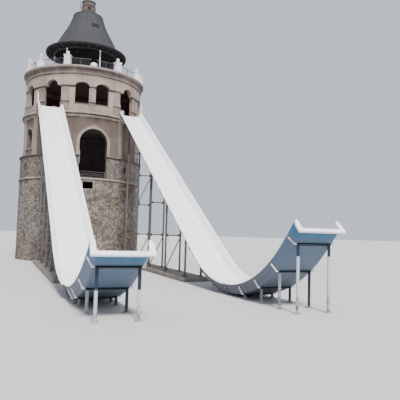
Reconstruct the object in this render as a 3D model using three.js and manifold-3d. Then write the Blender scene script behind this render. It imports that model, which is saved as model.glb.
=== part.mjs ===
// Water slide tower: a round masonry tower with an arcaded belvedere and a railed terrace under a
// conical roof, and two steep open chutes that end in up-turned take-off ramps on steel portals.
// Millimetres, +Z up. The chutes run down towards -Y. Azimuth 0 on the tower faces -Y, and grows
// towards +X. Until the last lines, Y = 0 is the line of the take-off lips.
import * as THREE from "three";
import { mergeVertices } from "three/addons/utils/BufferGeometryUtils.js";
import Module from "manifold-3d";

const wasm = await Module();
wasm.setup();
const rad = THREE.MathUtils.degToRad;

// Clearance where two pieces meet, and the facets of a full turn
const GAP = 0.3;
const FACETS = 36;

// Tower: its axis, and the levels of its storeys
const TOWER_Y = 33410;
const BASE_TOP = 7100;
const DOOR_SILL = 7300;
const LOWER_STOREY_TOP = 9150;
const SHAFT_TOP = 12600;
const BELVEDERE_FLOOR = 13100;
const PARAPET_TOP = 13840;
const SPRINGING = 15370;
const CORNICE_BOTTOM = 16400;
const TERRACE = 17140;

// Tower: outer and inner radii of its walls
const BASE_RADIUS = 5580;
const LOWER_RADIUS = 5600;
const SHAFT_RADIUS = 5400;
const ARCADE_RADIUS = 5340;
const FRIEZE_RADIUS = 5400;
const CORNICE_RADIUS = 5700;
const BASE_INNER = 5000;
const SHAFT_INNER = 4750;
const BELVEDERE_INNER = 5040;
const CORNICE_INNER = 5000;
const FLOOR_THICKNESS = 300;

// Openings: their sizes and heights, and their azimuths round the tower
const DOORWAY = { width: 2420, sill: DOOR_SILL, springing: 10430, crown: 11640 };
const DOORWAY_AZIMUTH = 1.9;
const SHAFT_WINDOW = { width: 1060, sill: 9920, springing: 11210, crown: 11740 };
const SHAFT_WINDOW_AZIMUTHS = [68, 124, 180, 236, 292];
const ARCADE_WINDOW = { width: 1200, sill: PARAPET_TOP, springing: SPRINGING, crown: 15730 };
const ARCADE_WINDOW_AZIMUTHS = [9.6, 69.2, 96.9, 124.6, 152.3, 180];
const SLIDE_DOOR = { width: 1710, sill: 13250, springing: SPRINGING, crown: 15900 };
const SLIDE_DOOR_HEAD = { ...SLIDE_DOOR, width: 1100 };
const SLIDE_DOOR_AZIMUTH = 38.4;
const ARCADE_TURN = -1.2;
const BASE_HATCH = { width: 860, bottom: 6350, top: 6960, azimuth: -2.1 };
const SLIT = { width: 150, bottom: 8050, top: 8500 };
const SLIT_AZIMUTHS = [34.7, 68.5, 111.5, 145.3];

// Trim
const PILASTER = { doorWidth: 420, windowWidth: 580, proud: 70 };
const DOOR_PILASTER_AZIMUTHS = [29.5];
const WINDOW_PILASTER_AZIMUTHS = [57, 79, 113, 135, 169];
const ARCHIVOLT_WIDTH = 260;
const ARCHIVOLT_PROUD = 90;
const PEDESTAL = { width: 760, middleWidth: 520, narrowing: 130, radius: 5480, top: 13950 };
const PEDESTAL_AZIMUTHS = [0, 25.4, 51.6, 83, 110.7, 138.4, 166.1];

// Terrace railing
const PIER_AZIMUTHS = [24.4, 54.3, 77, 102.7, 128.4, 154.2, 180];
const PIER_RADIUS = 5350;
const PIER = { width: 520, height: 890, cap: 600, capHeight: 70, neck: 60, ball: 150 };
const LOW_DOME = { radius: 310, height: 420 };
const RAIL = { height: 700, radius: 28, panel: 12 };

// Roof
const EAVE_RADIUS = 3860;
const EAVE_TOP = 19920;
const FASCIA = { height: 160, inner: 3560 };
const ROOF_SHELL = 90;
const ROOF_BELL = [[3130, 20260], [2780, 20920], [2280, 21870], [1920, 22500], [1690, 23040], [1420, 23820]];
const ROOF_POST = { count: 6, radius: 3050, first: 15.5, size: 60 };
const TURRET = { radius: 660, bottom: 23900, top: 25560 };
const ROD = { radius: 30, x: -830, top: 25450 };

// Chutes: a section across one, measured from its rim line
const CHUTE_X = 3560;
const CHUTE = { rim: 1050, wall: 965, floor: 760, corner: 60, depth: 460, skin: 60, lip: 50 };
const SLOPE_ANGLE = rad(31.98);
const SLOPE_LINE_Z = -4260;
const SLOPE_TOP_Y = 28800;
const START_GUARD = { height: 900, length: 520, thickness: 60 };
const LIP_PLATE = { thickness: 90, half: 990, ear: 935, earInner: 800, inner: 745, depth: 560, up: 20 };
const COLLAR = { reach: 50, thickness: 40 };
const CHUTES = [
  { name: "left", x: -CHUTE_X, lowest: 590, radius: 8600, lipAngle: rad(38), lipRun: 0 },
  { name: "right", x: CHUTE_X, lowest: 520, radius: 6800, lipAngle: rad(46), lipRun: 900 },
];
const SLOPE_JOINTS_Y = [10400, 19600];
const RAMP_STEPS = 11;
const VALLEY_STEPS = 7;

// Steelwork under the chutes
const PORTAL_ROWS = { left: [270, 1800, 3400, 4250], right: [300, 1500, 2850, 4250] };
const PORTAL = { half: 665, post: 55, beam: 80 };
const BENT_ROWS = [12100, 15800, 19500, 23200, 26900];
const BENT = { half: 500, post: 62, tie: 38, beam: 100, tieStep: 2350 };
const FOOTING = { width: 1700, height: 220, from: 11500, to: 27500 };
const BASE_PLATE = { size: 220, thickness: 20 };

const FACET = 360 / FACETS;
const tower = new THREE.Group();

// A closed geometry as a solid that can be joined and cut
function solid(geometry) {
  const bare = geometry.clone();
  bare.deleteAttribute("normal");
  bare.deleteAttribute("uv");
  const merged = mergeVertices(bare, 1e-3);
  const corners = merged.index.array;
  const kept = [];
  for (let i = 0; i < corners.length; i += 3) {
    const [a, b, c] = corners.slice(i, i + 3);
    if (a !== b && b !== c && c !== a) kept.push(a, b, c);
  }
  const vertProperties = merged.attributes.position.array;
  return new wasm.Manifold(new wasm.Mesh({ numProp: 3, vertProperties, triVerts: new Uint32Array(kept) }));
}

function joined(solids) {
  return solids.reduce((whole, piece) => whole.add(piece));
}

function cut(shape, cutters) {
  return cutters.reduce((rest, cutter) => rest.subtract(cutter), shape);
}

function addMesh(name, shape, [color, roughness, metalness]) {
  const { vertProperties, triVerts } = shape.getMesh();
  const geometry = new THREE.BufferGeometry();
  geometry.setAttribute("position", new THREE.BufferAttribute(vertProperties, 3));
  geometry.setIndex(new THREE.BufferAttribute(triVerts, 1));
  geometry.computeVertexNormals();
  const mesh = new THREE.Mesh(geometry, new THREE.MeshStandardMaterial({ color, roughness, metalness }));
  mesh.name = name;
  tower.add(mesh);
}

// Finishes: colour, roughness, metalness
const RUBBLE = [0x8d8375, 0.95, 0];
const STUCCO = [0x8a7d70, 0.92, 0];
const PLASTER = [0xb5a596, 0.85, 0];
const DRESSED_STONE = [0xb9b1a2, 0.85, 0];
const CONCRETE = [0xa39b8f, 0.9, 0];
const ROOFING = [0x6c6d6f, 0.75, 0];
const DARK_TIMBER = [0x2a211f, 0.8, 0];
const WHITE_PAINT = [0xe6e4df, 0.5, 0];
const RAILING = [0xd8d8dc, 0.5, 0];
const GELCOAT = [0xeeeeee, 0.25, 0];
const GALVANISED = [0xb9c0c6, 0.45, 0.8];

// The corner at a radius and azimuth on the tower's plan
function place(radius, azimuth) {
  const turn = rad(azimuth);
  return new THREE.Vector2(radius * Math.sin(turn), TOWER_Y - radius * Math.cos(turn));
}

function arc(radius, from, to) {
  const steps = Math.max(1, Math.round(Math.abs(to - from) / FACET));
  return Array.from({ length: steps + 1 }, (_, i) => place(radius, from + ((to - from) * i) / steps));
}

// An upright prism on a plan outline
function prism(outline, bottom, top) {
  const options = { depth: top - bottom, bevelEnabled: false };
  const geometry = new THREE.ExtrudeGeometry(new THREE.Shape(outline), options);
  return solid(geometry.translate(0, 0, bottom));
}

// A stretch of round wall, with half the clearance taken off each end
function roundWall(inner, outer, bottom, top, from, to) {
  const trim = THREE.MathUtils.radToDeg(GAP / 2 / inner);
  const outline = [...arc(outer, from + trim, to - trim), ...arc(inner, to - trim, from + trim)];
  return prism(outline, bottom, top - GAP);
}

// A solid of revolution about the tower's axis: its profile runs counterclockwise in (radius, height)
function turned(profile, facets = FACETS) {
  const points = profile.map(([radius, height]) => new THREE.Vector2(radius, height));
  const geometry = new THREE.LatheGeometry(points, facets);
  return solid(geometry.rotateX(Math.PI / 2).translate(0, TOWER_Y, 0));
}

// A closed ring about the tower's axis
function turnedRing(profile) {
  return turned([...profile, profile[0]]);
}

function column(radius, bottom, top, facets = FACETS) {
  return turned([[0, bottom], [radius, bottom], [radius, top], [0, top]], facets);
}

// A prism that stands upright across an azimuth: its outline is (sideways, height), and it runs
// outwards from one radius to another
function radialPrism(outline, azimuth, inner, outer) {
  const options = { depth: outer - inner, bevelEnabled: false, curveSegments: 5 };
  const geometry = new THREE.ExtrudeGeometry(outline, options);
  const turn = rad(azimuth);
  const sideways = new THREE.Vector3(Math.cos(turn), Math.sin(turn), 0);
  const outwards = new THREE.Vector3(Math.sin(turn), -Math.cos(turn), 0);
  const frame = new THREE.Matrix4().makeBasis(sideways, new THREE.Vector3(0, 0, 1), outwards);
  const start = place(inner, azimuth);
  return solid(geometry.applyMatrix4(frame.setPosition(start.x, start.y, 0)));
}

function rectangle(width, bottom, top) {
  const half = width / 2;
  const corners = [[-half, bottom], [half, bottom], [half, top], [-half, top]];
  return new THREE.Shape(corners.map(([x, z]) => new THREE.Vector2(x, z)));
}

// An opening with a round head: straight sides, then half an ellipse up to the crown
function archShape({ width, sill, springing, crown }, widen = 0) {
  const half = width / 2 + widen;
  const shape = new THREE.Shape();
  shape.moveTo(-half, sill);
  shape.lineTo(half, sill);
  shape.lineTo(half, springing);
  shape.absellipse(0, springing, half, crown - springing + widen, 0, Math.PI, false);
  shape.closePath();
  return shape;
}

function archCutter(opening, azimuth) {
  return radialPrism(archShape(opening), azimuth, BELVEDERE_INNER - 700, CORNICE_RADIUS + 300);
}

function slotCutter({ width, bottom, top }, azimuth) {
  return radialPrism(rectangle(width, bottom, top), azimuth, BELVEDERE_INNER - 700, CORNICE_RADIUS + 300);
}

// A box between two corners
function block(low, high) {
  const size = high.map((value, i) => value - low[i]);
  const middle = high.map((value, i) => (value + low[i]) / 2);
  return solid(new THREE.BoxGeometry(...size).translate(...middle));
}

// A round bar between two points
function bar(from, to, radius, sides = 6) {
  const start = new THREE.Vector3(...from);
  const end = new THREE.Vector3(...to);
  const along = end.clone().sub(start);
  const geometry = new THREE.CylinderGeometry(radius, radius, along.length(), sides);
  geometry.rotateY(Math.PI / sides);
  const turn = new THREE.Quaternion().setFromUnitVectors(new THREE.Vector3(0, 1, 0), along.normalize());
  geometry.applyQuaternion(turn);
  return solid(geometry.translate(...start.add(end).multiplyScalar(0.5).toArray()));
}

// Azimuths with their mirror images
function mirrored(azimuths) {
  return azimuths.flatMap((azimuth) => (azimuth % 180 === 0 ? [azimuth] : [azimuth, -azimuth]));
}

// Walls of the tower, storey by storey
function buildWalls() {
  const hatch = slotCutter(BASE_HATCH, BASE_HATCH.azimuth);
  const doorway = archCutter(DOORWAY, DOORWAY_AZIMUTH);
  const slits = mirrored(SLIT_AZIMUTHS).map((azimuth) => slotCutter(SLIT, azimuth));
  const windows = SHAFT_WINDOW_AZIMUTHS.map((azimuth) => archCutter(SHAFT_WINDOW, azimuth));
  for (const [side, from, to] of [["front", -90, 90], ["back", 90, 270]]) {
    const base = roundWall(BASE_INNER, BASE_RADIUS, 0, BASE_TOP, from, to);
    addMesh(`base_wall_${side}`, cut(base, [hatch]), RUBBLE);
    const lower = roundWall(BASE_INNER, LOWER_RADIUS, BASE_TOP, LOWER_STOREY_TOP, from, to);
    addMesh(`lower_storey_${side}`, cut(lower, [doorway, ...slits]), RUBBLE);
    const shaft = roundWall(SHAFT_INNER, SHAFT_RADIUS, LOWER_STOREY_TOP, SHAFT_TOP, from, to);
    addMesh(`shaft_wall_${side}`, cut(shaft, [doorway, ...windows]), STUCCO);
  }
}

// A pedestal against the parapet with the pilaster that stands on it, grown by a clearance
function pedestal(azimuth, grow = 0) {
  const width = (azimuth === 0 ? PEDESTAL.middleWidth : PEDESTAL.width) + 2 * grow;
  const inner = ARCADE_RADIUS - 400;
  const foot = rectangle(width, BELVEDERE_FLOOR - grow, PEDESTAL.top + grow);
  const shaft = rectangle(width - PEDESTAL.narrowing, BELVEDERE_FLOOR - grow, SPRINGING);
  return joined([
    radialPrism(foot, azimuth + ARCADE_TURN, inner, PEDESTAL.radius + grow),
    radialPrism(shaft, azimuth + ARCADE_TURN, inner, FRIEZE_RADIUS - 10 + grow),
  ]);
}

// The arcade up to the springing of its arches, with pedestals against the parapet, and the frieze that
// holds the arches' heads and stands a little proud of it
function buildBelvedere() {
  const openings = (shape, azimuths) => {
    return mirrored(azimuths).map((azimuth) => archCutter(shape, azimuth + ARCADE_TURN));
  };
  const windows = openings(ARCADE_WINDOW, ARCADE_WINDOW_AZIMUTHS);
  const arches = [...windows, ...openings(SLIDE_DOOR, [SLIDE_DOOR_AZIMUTH])];
  const heads = [...windows, ...openings(SLIDE_DOOR_HEAD, [SLIDE_DOOR_AZIMUTH])];
  const core = column(ARCADE_RADIUS - 100, BELVEDERE_FLOOR - 100, TERRACE);
  const pedestals = mirrored(PEDESTAL_AZIMUTHS).map((azimuth) => pedestal(azimuth).subtract(core));
  const door = SLIDE_DOOR_AZIMUTH;
  const rear = 138.4;
  const stretches = [
    ["front", -door, door],
    ["right", door, rear],
    ["back", rear, 360 - rear],
    ["left", 360 - rear, 360 - door],
  ];
  for (const [side, start, end] of stretches) {
    const [from, to] = [start + ARCADE_TURN, end + ARCADE_TURN];
    const wall = roundWall(BELVEDERE_INNER, ARCADE_RADIUS, BELVEDERE_FLOOR, SPRINGING, from, to);
    const sector = roundWall(BELVEDERE_INNER, CORNICE_RADIUS, BELVEDERE_FLOOR, SPRINGING, from, to);
    const trim = pedestals.map((piece) => piece.intersect(sector)).filter((piece) => piece.volume() > 1);
    addMesh(`belvedere_${side}`, cut(joined([wall, ...trim]), arches), PLASTER);
  }
  const side = PEDESTAL_AZIMUTHS[3];
  for (const [name, start, end] of [["frieze_front", -side, side], ["frieze_back", side, 360 - side]]) {
    const [from, to] = [start + ARCADE_TURN, end + ARCADE_TURN];
    const frieze = roundWall(BELVEDERE_INNER, FRIEZE_RADIUS, SPRINGING, CORNICE_BOTTOM, from, to);
    addMesh(name, cut(frieze, heads), PLASTER);
  }
}

// Floors, and the courses that run round the tower
function buildCourses() {
  const doorFloor = column(BASE_INNER - GAP, DOOR_SILL - FLOOR_THICKNESS, DOOR_SILL);
  addMesh("door_floor", doorFloor, CONCRETE);
  const slab = turned([
    [0, SHAFT_TOP], [SHAFT_RADIUS + 20, SHAFT_TOP], [SHAFT_RADIUS + 90, SHAFT_TOP + 40],
    [SHAFT_RADIUS + 110, SHAFT_TOP + 190], [SHAFT_RADIUS + 210, SHAFT_TOP + 300],
    [SHAFT_RADIUS + 230, BELVEDERE_FLOOR - GAP], [0, BELVEDERE_FLOOR - GAP],
  ]);
  addMesh("belvedere_floor", cut(slab, CHUTES.map((chute) => chuteEnvelope(chute, GAP))), DRESSED_STONE);
  const cornice = turnedRing([
    [CORNICE_INNER, CORNICE_BOTTOM], [FRIEZE_RADIUS + 20, CORNICE_BOTTOM],
    [FRIEZE_RADIUS + 110, CORNICE_BOTTOM + 40],
    [FRIEZE_RADIUS + 110, CORNICE_BOTTOM + 190], [FRIEZE_RADIUS + 60, CORNICE_BOTTOM + 240],
    [FRIEZE_RADIUS + 120, CORNICE_BOTTOM + 400], [CORNICE_RADIUS - 60, TERRACE - 180],
    [CORNICE_RADIUS, TERRACE - 140], [CORNICE_RADIUS, TERRACE - GAP],
    [CORNICE_INNER, TERRACE - GAP],
  ]);
  addMesh("main_cornice", cornice, DRESSED_STONE);
  addMesh("terrace_floor", column(CORNICE_INNER - GAP, TERRACE - FLOOR_THICKNESS, TERRACE - GAP), CONCRETE);
  const lowerBand = turnedRing([
    [LOWER_RADIUS + GAP, BASE_TOP], [LOWER_RADIUS + 60, BASE_TOP], [LOWER_RADIUS + 90, BASE_TOP + 60],
    [LOWER_RADIUS + 90, DOOR_SILL - 20], [LOWER_RADIUS + GAP, DOOR_SILL],
  ]);
  addMesh("lower_band", lowerBand, DRESSED_STONE);
}

// The upper band, the pilasters that stand on it and the surround of the doorway are one dressed frame
function buildShaftTrim() {
  const band = turnedRing([
    [SHAFT_RADIUS + GAP, LOWER_STOREY_TOP], [LOWER_RADIUS + 70, LOWER_STOREY_TOP],
    [LOWER_RADIUS + 120, LOWER_STOREY_TOP + 50], [LOWER_RADIUS + 120, LOWER_STOREY_TOP + 130],
    [SHAFT_RADIUS + GAP, LOWER_STOREY_TOP + 170],
  ]);
  const foot = LOWER_STOREY_TOP + 20;
  const shaftCore = column(SHAFT_RADIUS + GAP, BASE_TOP, CORNICE_BOTTOM);
  const pilasters = mirrored([...DOOR_PILASTER_AZIMUTHS, ...WINDOW_PILASTER_AZIMUTHS]).map((azimuth) => {
    const byDoor = DOOR_PILASTER_AZIMUTHS.includes(Math.abs(azimuth));
    const outline = rectangle(byDoor ? PILASTER.doorWidth : PILASTER.windowWidth, foot, SHAFT_TOP - GAP);
    return radialPrism(outline, azimuth, SHAFT_RADIUS - 200, SHAFT_RADIUS + PILASTER.proud);
  });
  const frameOutline = archShape({ ...DOORWAY, sill: foot }, ARCHIVOLT_WIDTH);
  const face = SHAFT_RADIUS + ARCHIVOLT_PROUD;
  const surround = radialPrism(frameOutline, DOORWAY_AZIMUTH, SHAFT_RADIUS - 300, face);
  const keystoneOutline = rectangle(300, DOORWAY.crown - 20, DOORWAY.crown + ARCHIVOLT_WIDTH + 70);
  const keystone = radialPrism(keystoneOutline, DOORWAY_AZIMUTH, SHAFT_RADIUS - 200, face + 50);
  const frame = joined([band, ...pilasters, surround, keystone]).subtract(shaftCore);
  addMesh("shaft_trim", cut(frame, [archCutter(DOORWAY, DOORWAY_AZIMUTH)]), DRESSED_STONE);
}

// Thin rails across the doorway, between its jambs
function buildDoorGuard() {
  const half = DOORWAY.width / 2 - 6;
  const setBack = SHAFT_RADIUS - 450;
  const axis = new THREE.Vector3(0, TOWER_Y, 0);
  const at = (x, height) => {
    const point = new THREE.Vector3(x, -setBack, DOOR_SILL + height);
    return point.applyAxisAngle(new THREE.Vector3(0, 0, 1), rad(DOORWAY_AZIMUTH)).add(axis).toArray();
  };
  const posts = [-half + 30, half - 30].map((x) => bar(at(x, GAP), at(x, 620), 22, 4));
  const rails = [140, 280, 420, 600].map((height) => bar(at(-half, height), at(half, height), 16, 4));
  addMesh("door_guard", joined([...posts, ...rails]), GALVANISED);
}

// One pier of the terrace railing, turned to its azimuth: a square body, cap slab and neck under a ball
function pier(azimuth) {
  const corner = (width) => width * Math.SQRT1_2;
  const capTop = PIER.height + PIER.capHeight;
  const neckTop = capTop + PIER.neck;
  const profile = [
    [0, 0], [corner(PIER.width), 0], [corner(PIER.width), PIER.height], [corner(PIER.cap), PIER.height],
    [corner(PIER.cap), capTop], [corner(PIER.ball), neckTop], [0, neckTop],
  ];
  const post = new THREE.LatheGeometry(profile.map(([r, z]) => new THREE.Vector2(r, z)), 4, Math.PI / 4);
  const ball = new THREE.SphereGeometry(PIER.ball, 8, 5).translate(0, neckTop + PIER.ball - 25, 0);
  const centre = place(PIER_RADIUS, azimuth);
  const pieces = [post, ball].map((geometry) => {
    return solid(geometry.rotateX(Math.PI / 2).rotateZ(rad(azimuth)).translate(centre.x, centre.y, TERRACE));
  });
  return joined(pieces);
}

// The front pier is low and ends in a dome
function lowDome() {
  const { radius, height } = LOW_DOME;
  const profile = [[0, 0], [radius, 0], [radius, 150]];
  for (let i = 1; i < 5; i += 1) {
    const rise = (i * Math.PI) / 10;
    profile.push([radius * Math.cos(rise), 150 + (height - 150) * Math.sin(rise)]);
  }
  profile.push([0, height]);
  const geometry = new THREE.LatheGeometry(profile.map(([r, z]) => new THREE.Vector2(r, z)), 16);
  const centre = place(PIER_RADIUS, ARCADE_TURN);
  return solid(geometry.rotateX(Math.PI / 2).translate(centre.x, centre.y, TERRACE));
}

// The bay of railing between two piers: two rails, a middle post and two thin panels, on one line
function railingBay(from, to) {
  const start = place(PIER_RADIUS, from);
  const end = place(PIER_RADIUS, to);
  const along = end.clone().sub(start).normalize().multiplyScalar(PIER.width / 2 - 40);
  const [a, b] = [start.clone().add(along), end.clone().sub(along)];
  const middle = a.clone().add(b).multiplyScalar(0.5);
  const top = TERRACE + RAIL.height;
  const foot = TERRACE + 80;
  const rails = [foot, top].map((z) => bar([a.x, a.y, z], [b.x, b.y, z], RAIL.radius, 4));
  const post = bar([middle.x, middle.y, TERRACE], [middle.x, middle.y, top], RAIL.radius, 4);
  const across = new THREE.Vector2(-along.y, along.x).normalize().multiplyScalar(RAIL.panel / 2);
  const outline = [
    a.clone().add(across), b.clone().add(across), b.clone().sub(across), a.clone().sub(across),
  ];
  return joined([...rails, post, prism(outline, foot, top)]);
}

function buildRailing() {
  const right = PIER_AZIMUTHS.slice(0, -1);
  const round = [0, ...right, 180, ...right.map((azimuth) => 360 - azimuth).reverse()];
  const half = round.length / 2;
  const azimuthOf = (index) => round[(index + round.length) % round.length] + ARCADE_TURN;
  for (const [side, first] of [["front", -(half + 1) / 2], ["back", (half - 1) / 2]]) {
    const pieces = [];
    for (let i = first; i < first + half; i += 1) {
      pieces.push(i === 0 ? lowDome() : pier(azimuthOf(i)), railingBay(azimuthOf(i), azimuthOf(i + 1)));
    }
    const end = azimuthOf(first + half);
    const nextPier = place(PIER_RADIUS, end);
    const reach = PIER.width / 2 + GAP;
    const stop = new THREE.BoxGeometry(2 * reach, 2 * reach, 2000).rotateZ(rad(end));
    const clear = solid(stop.translate(nextPier.x, nextPier.y, TERRACE));
    addMesh(`terrace_railing_${side}`, joined(pieces).subtract(clear), RAILING);
  }
}

// Roof: six posts under a ring beam, the eave's fascia, the steep cone and its turret
function buildRoof() {
  const beamBottom = EAVE_TOP - FASCIA.height - 120;
  const { count, radius, first, size } = ROOF_POST;
  const posts = Array.from({ length: count }, (_, i) => {
    const at = place(radius, first + (i * 360) / count);
    return bar([at.x, at.y, TERRACE], [at.x, at.y, beamBottom + 40], size, 8);
  });
  const beamTop = beamBottom + 120;
  const beam = turnedRing([
    [radius - 90, beamBottom], [radius + 90, beamBottom], [radius + 90, beamTop], [radius - 90, beamTop],
  ]);
  addMesh("roof_posts", joined([beam, ...posts]), WHITE_PAINT);
  const soffit = EAVE_TOP - FASCIA.height;
  const fascia = turnedRing([
    [radius - 90, soffit], [EAVE_RADIUS - 60, soffit], [EAVE_RADIUS, soffit + 60],
    [EAVE_RADIUS, EAVE_TOP - GAP], [FASCIA.inner, EAVE_TOP - GAP], [FASCIA.inner, soffit + 60],
    [radius - 90, soffit + 60],
  ]);
  addMesh("roof_fascia", fascia, DARK_TIMBER);
  const top = TURRET.bottom;
  const lining = [ROOF_BELL[4], ROOF_BELL[2], ROOF_BELL[0]];
  const inner = lining.map(([r, z]) => [r - ROOF_SHELL, z - ROOF_SHELL / 2]);
  const cone = turnedRing([
    [FASCIA.inner, EAVE_TOP], [EAVE_RADIUS, EAVE_TOP], [EAVE_RADIUS, EAVE_TOP + 50], ...ROOF_BELL,
    [TURRET.radius - 60, top - GAP], [TURRET.radius - 60, top - ROOF_SHELL], ...inner,
  ]);
  addMesh("roof_cone", cone, ROOFING);
  const r = TURRET.radius;
  const turret = turned([
    [0, top], [r + 60, top], [r + 60, top + 80], [r, top + 110], [r - 40, TURRET.top - 260],
    [r + 20, TURRET.top - 240], [r + 20, TURRET.top - 180], [r - 200, TURRET.top - 60], [0, TURRET.top],
  ], 24);
  const rodHeight = TURRET.bottom + 30;
  const rod = bar([ROD.x, TOWER_Y, rodHeight], [ROD.x, TOWER_Y, ROD.top], ROD.radius);
  const arm = bar([ROD.x, TOWER_Y, rodHeight + 30], [0, TOWER_Y, rodHeight + 30], ROD.radius);
  addMesh("roof_turret", joined([turret, rod, arm]), ROOFING);
}

// Where one chute's rim line runs, as distances along it from the take-off lip
function chuteLine(chute) {
  const { lowest, radius, lipAngle, lipRun } = chute;
  const centreZ = lowest + radius;
  const tangentY = (centreZ - radius * Math.cos(SLOPE_ANGLE) - SLOPE_LINE_Z) / Math.tan(SLOPE_ANGLE);
  const centreY = tangentY - radius * Math.sin(SLOPE_ANGLE);
  const arcLength = radius * (lipAngle + SLOPE_ANGLE);
  const at = (distance) => {
    const along = Math.min(Math.max(distance - lipRun, 0), arcLength);
    const angle = along / radius - lipAngle;
    const spare = distance - lipRun - along;
    const y = centreY + radius * Math.sin(angle) + spare * Math.cos(angle);
    const z = centreZ - radius * Math.cos(angle) + spare * Math.sin(angle);
    const tangent = new THREE.Vector3(0, Math.cos(angle), Math.sin(angle));
    return { point: new THREE.Vector3(chute.x, y, z), tangent };
  };
  const bottom = lipRun + radius * lipAngle;
  const arcEnd = lipRun + arcLength;
  const onSlope = (y) => arcEnd + (y - tangentY) / Math.cos(SLOPE_ANGLE);
  return { at, bottom, arcEnd, onSlope, centreY, centreZ };
}

// A stretch of a chute's rim line, for sweeping a section along
class ChuteCurve extends THREE.Curve {
  constructor(chute, from, to) {
    super();
    this.line = chuteLine(chute);
    this.from = from;
    this.to = to;
  }

  getPoint(t) {
    return this.line.at(this.from + (this.to - this.from) * t).point;
  }

  getTangent(t) {
    return this.line.at(this.from + (this.to - this.from) * t).tangent;
  }
}

function mirroredSection(half) {
  const other = half.map(([x, w]) => [-x, w]).reverse();
  return [...half, ...other];
}

// Sections across a chute as (sideways, up from the rim line)
function shellSection(rim, stretch = 1) {
  const { wall, floor, corner, depth, skin, lip } = CHUTE;
  const half = [
    [floor, -depth], [floor + corner, 80 - depth], [wall, -lip], [rim, -lip], [rim, 0], [wall - 45, 0],
    [floor + corner - 30, 130 - depth], [floor - 30, skin - depth],
  ];
  return mirroredSection(half).map(([x, w]) => [x, w * stretch]);
}

function envelopeSection(grow) {
  const { rim, floor, corner, depth } = CHUTE;
  return mirroredSection([
    [floor + grow, -depth - grow], [floor + corner + grow, 80 - depth], [rim + grow, -40], [rim + grow, 900],
  ]);
}

function collarSection() {
  const { floor, corner, depth, wall, lip } = CHUTE;
  const { reach } = COLLAR;
  const half = [
    [floor + 30, -depth - reach], [floor + corner + reach, 70 - depth], [wall + 30, -lip - 40],
    [wall - 20, -lip - 40], [floor + corner - 10, 90 - depth], [floor - 10, 20 - depth],
  ];
  return mirroredSection(half);
}

function lipSection() {
  const { half, ear, earInner, inner, depth, up } = LIP_PLATE;
  const floorTop = CHUTE.skin - CHUTE.depth;
  return mirroredSection([
    [half, -depth], [ear, up - 50], [ear - 30, up - 8], [(ear + earInner) / 2, up + 10],
    [earInner + 20, up - 8], [earInner, up - 50], [inner + 60, floorTop + 60], [inner, floorTop],
  ]);
}

function swept(chute, section, from, to, steps) {
  const shape = new THREE.Shape(section.map(([x, w]) => new THREE.Vector2(x, w)));
  const extrudePath = new ChuteCurve(chute, from, to);
  return solid(new THREE.ExtrudeGeometry(shape, { steps, bevelEnabled: false, extrudePath }));
}

// The filled outline of a whole chute, for cutting what lies under it to fit
function chuteEnvelope(chute, grow) {
  const { bottom, arcEnd, onSlope } = chuteLine(chute);
  const section = envelopeSection(grow);
  const top = onSlope(SLOPE_TOP_Y + 600);
  return joined([
    swept(chute, section, -LIP_PLATE.thickness, 0, 1),
    swept(chute, section, 0, bottom, RAMP_STEPS),
    swept(chute, section, bottom, arcEnd, VALLEY_STEPS),
    swept(chute, section, arcEnd, top, 1),
  ]);
}

function buildChutes() {
  for (const chute of CHUTES) {
    const { bottom, arcEnd, onSlope } = chuteLine(chute);
    const joints = SLOPE_JOINTS_Y.map(onSlope);
    const section = shellSection(CHUTE.rim);
    const collar = (at, side) => {
      const ends = [at + (side * GAP) / 2, at + side * COLLAR.thickness].sort((a, b) => a - b);
      return swept(chute, collarSection(), ...ends, 1);
    };
    const run = (profile, from, to, steps) => swept(chute, profile, from + GAP / 2, to - GAP / 2, steps);
    const ramp = joined([
      run(shellSection(CHUTE.wall + 5), 0, bottom, RAMP_STEPS),
      swept(chute, lipSection(), -LIP_PLATE.thickness, GAP, 1),
      collar(bottom, -1),
    ]);
    addMesh(`${chute.name}_chute_ramp`, ramp, GELCOAT);
    const valley = joined([
      run(section, bottom, arcEnd, VALLEY_STEPS), swept(chute, section, arcEnd - GAP, joints[0] - GAP / 2, 1),
      collar(bottom, 1), collar(joints[0], -1),
    ]);
    addMesh(`${chute.name}_chute_valley`, valley, GELCOAT);
    const lower = joined([
      run(section, joints[0], joints[1], 1), collar(joints[0], 1), collar(joints[1], -1),
    ]);
    addMesh(`${chute.name}_chute_lower_slope`, lower, GELCOAT);
    const near = SLOPE_TOP_Y - GAP;
    const beyond = block([chute.x - 2000, near, 0], [chute.x + 2000, SLOPE_TOP_Y + 3000, TERRACE]);
    const upper = joined([run(section, joints[1], onSlope(SLOPE_TOP_Y + 600), 1), collar(joints[1], 1)]);
    addMesh(`${chute.name}_chute_upper_slope`, cut(upper, [beyond, ...towerFace()]), GELCOAT);
    addMesh(`${chute.name}_chute_start`, chuteStart(chute), GELCOAT);
  }
}

// The level pan between the slope's top and the slide door, cut to the round wall, with upright guards
function chuteStart(chute) {
  const rimZ = SLOPE_LINE_Z + SLOPE_TOP_Y * Math.tan(SLOPE_ANGLE);
  const section = shellSection(CHUTE.rim, 1 / Math.cos(SLOPE_ANGLE));
  const shape = new THREE.Shape(section.map(([x, w]) => new THREE.Vector2(x, w)));
  const length = 2400;
  const pan = new THREE.ExtrudeGeometry(shape, { depth: length, bevelEnabled: false });
  pan.rotateX(Math.PI / 2).translate(chute.x, SLOPE_TOP_Y + length, rimZ);
  const { height, length: guardLength, thickness } = START_GUARD;
  const guards = [-1, 1].map((side) => {
    const x = chute.x + side * (CHUTE.rim - thickness / 2);
    const low = [x - thickness / 2, SLOPE_TOP_Y, rimZ - 20];
    return block(low, [x + thickness / 2, SLOPE_TOP_Y + guardLength, rimZ + height]);
  });
  const pieces = cut(joined([solid(pan), ...guards]), towerFace()).decompose();
  return pieces.sort((a, b) => b.volume() - a.volume())[0];
}

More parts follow.
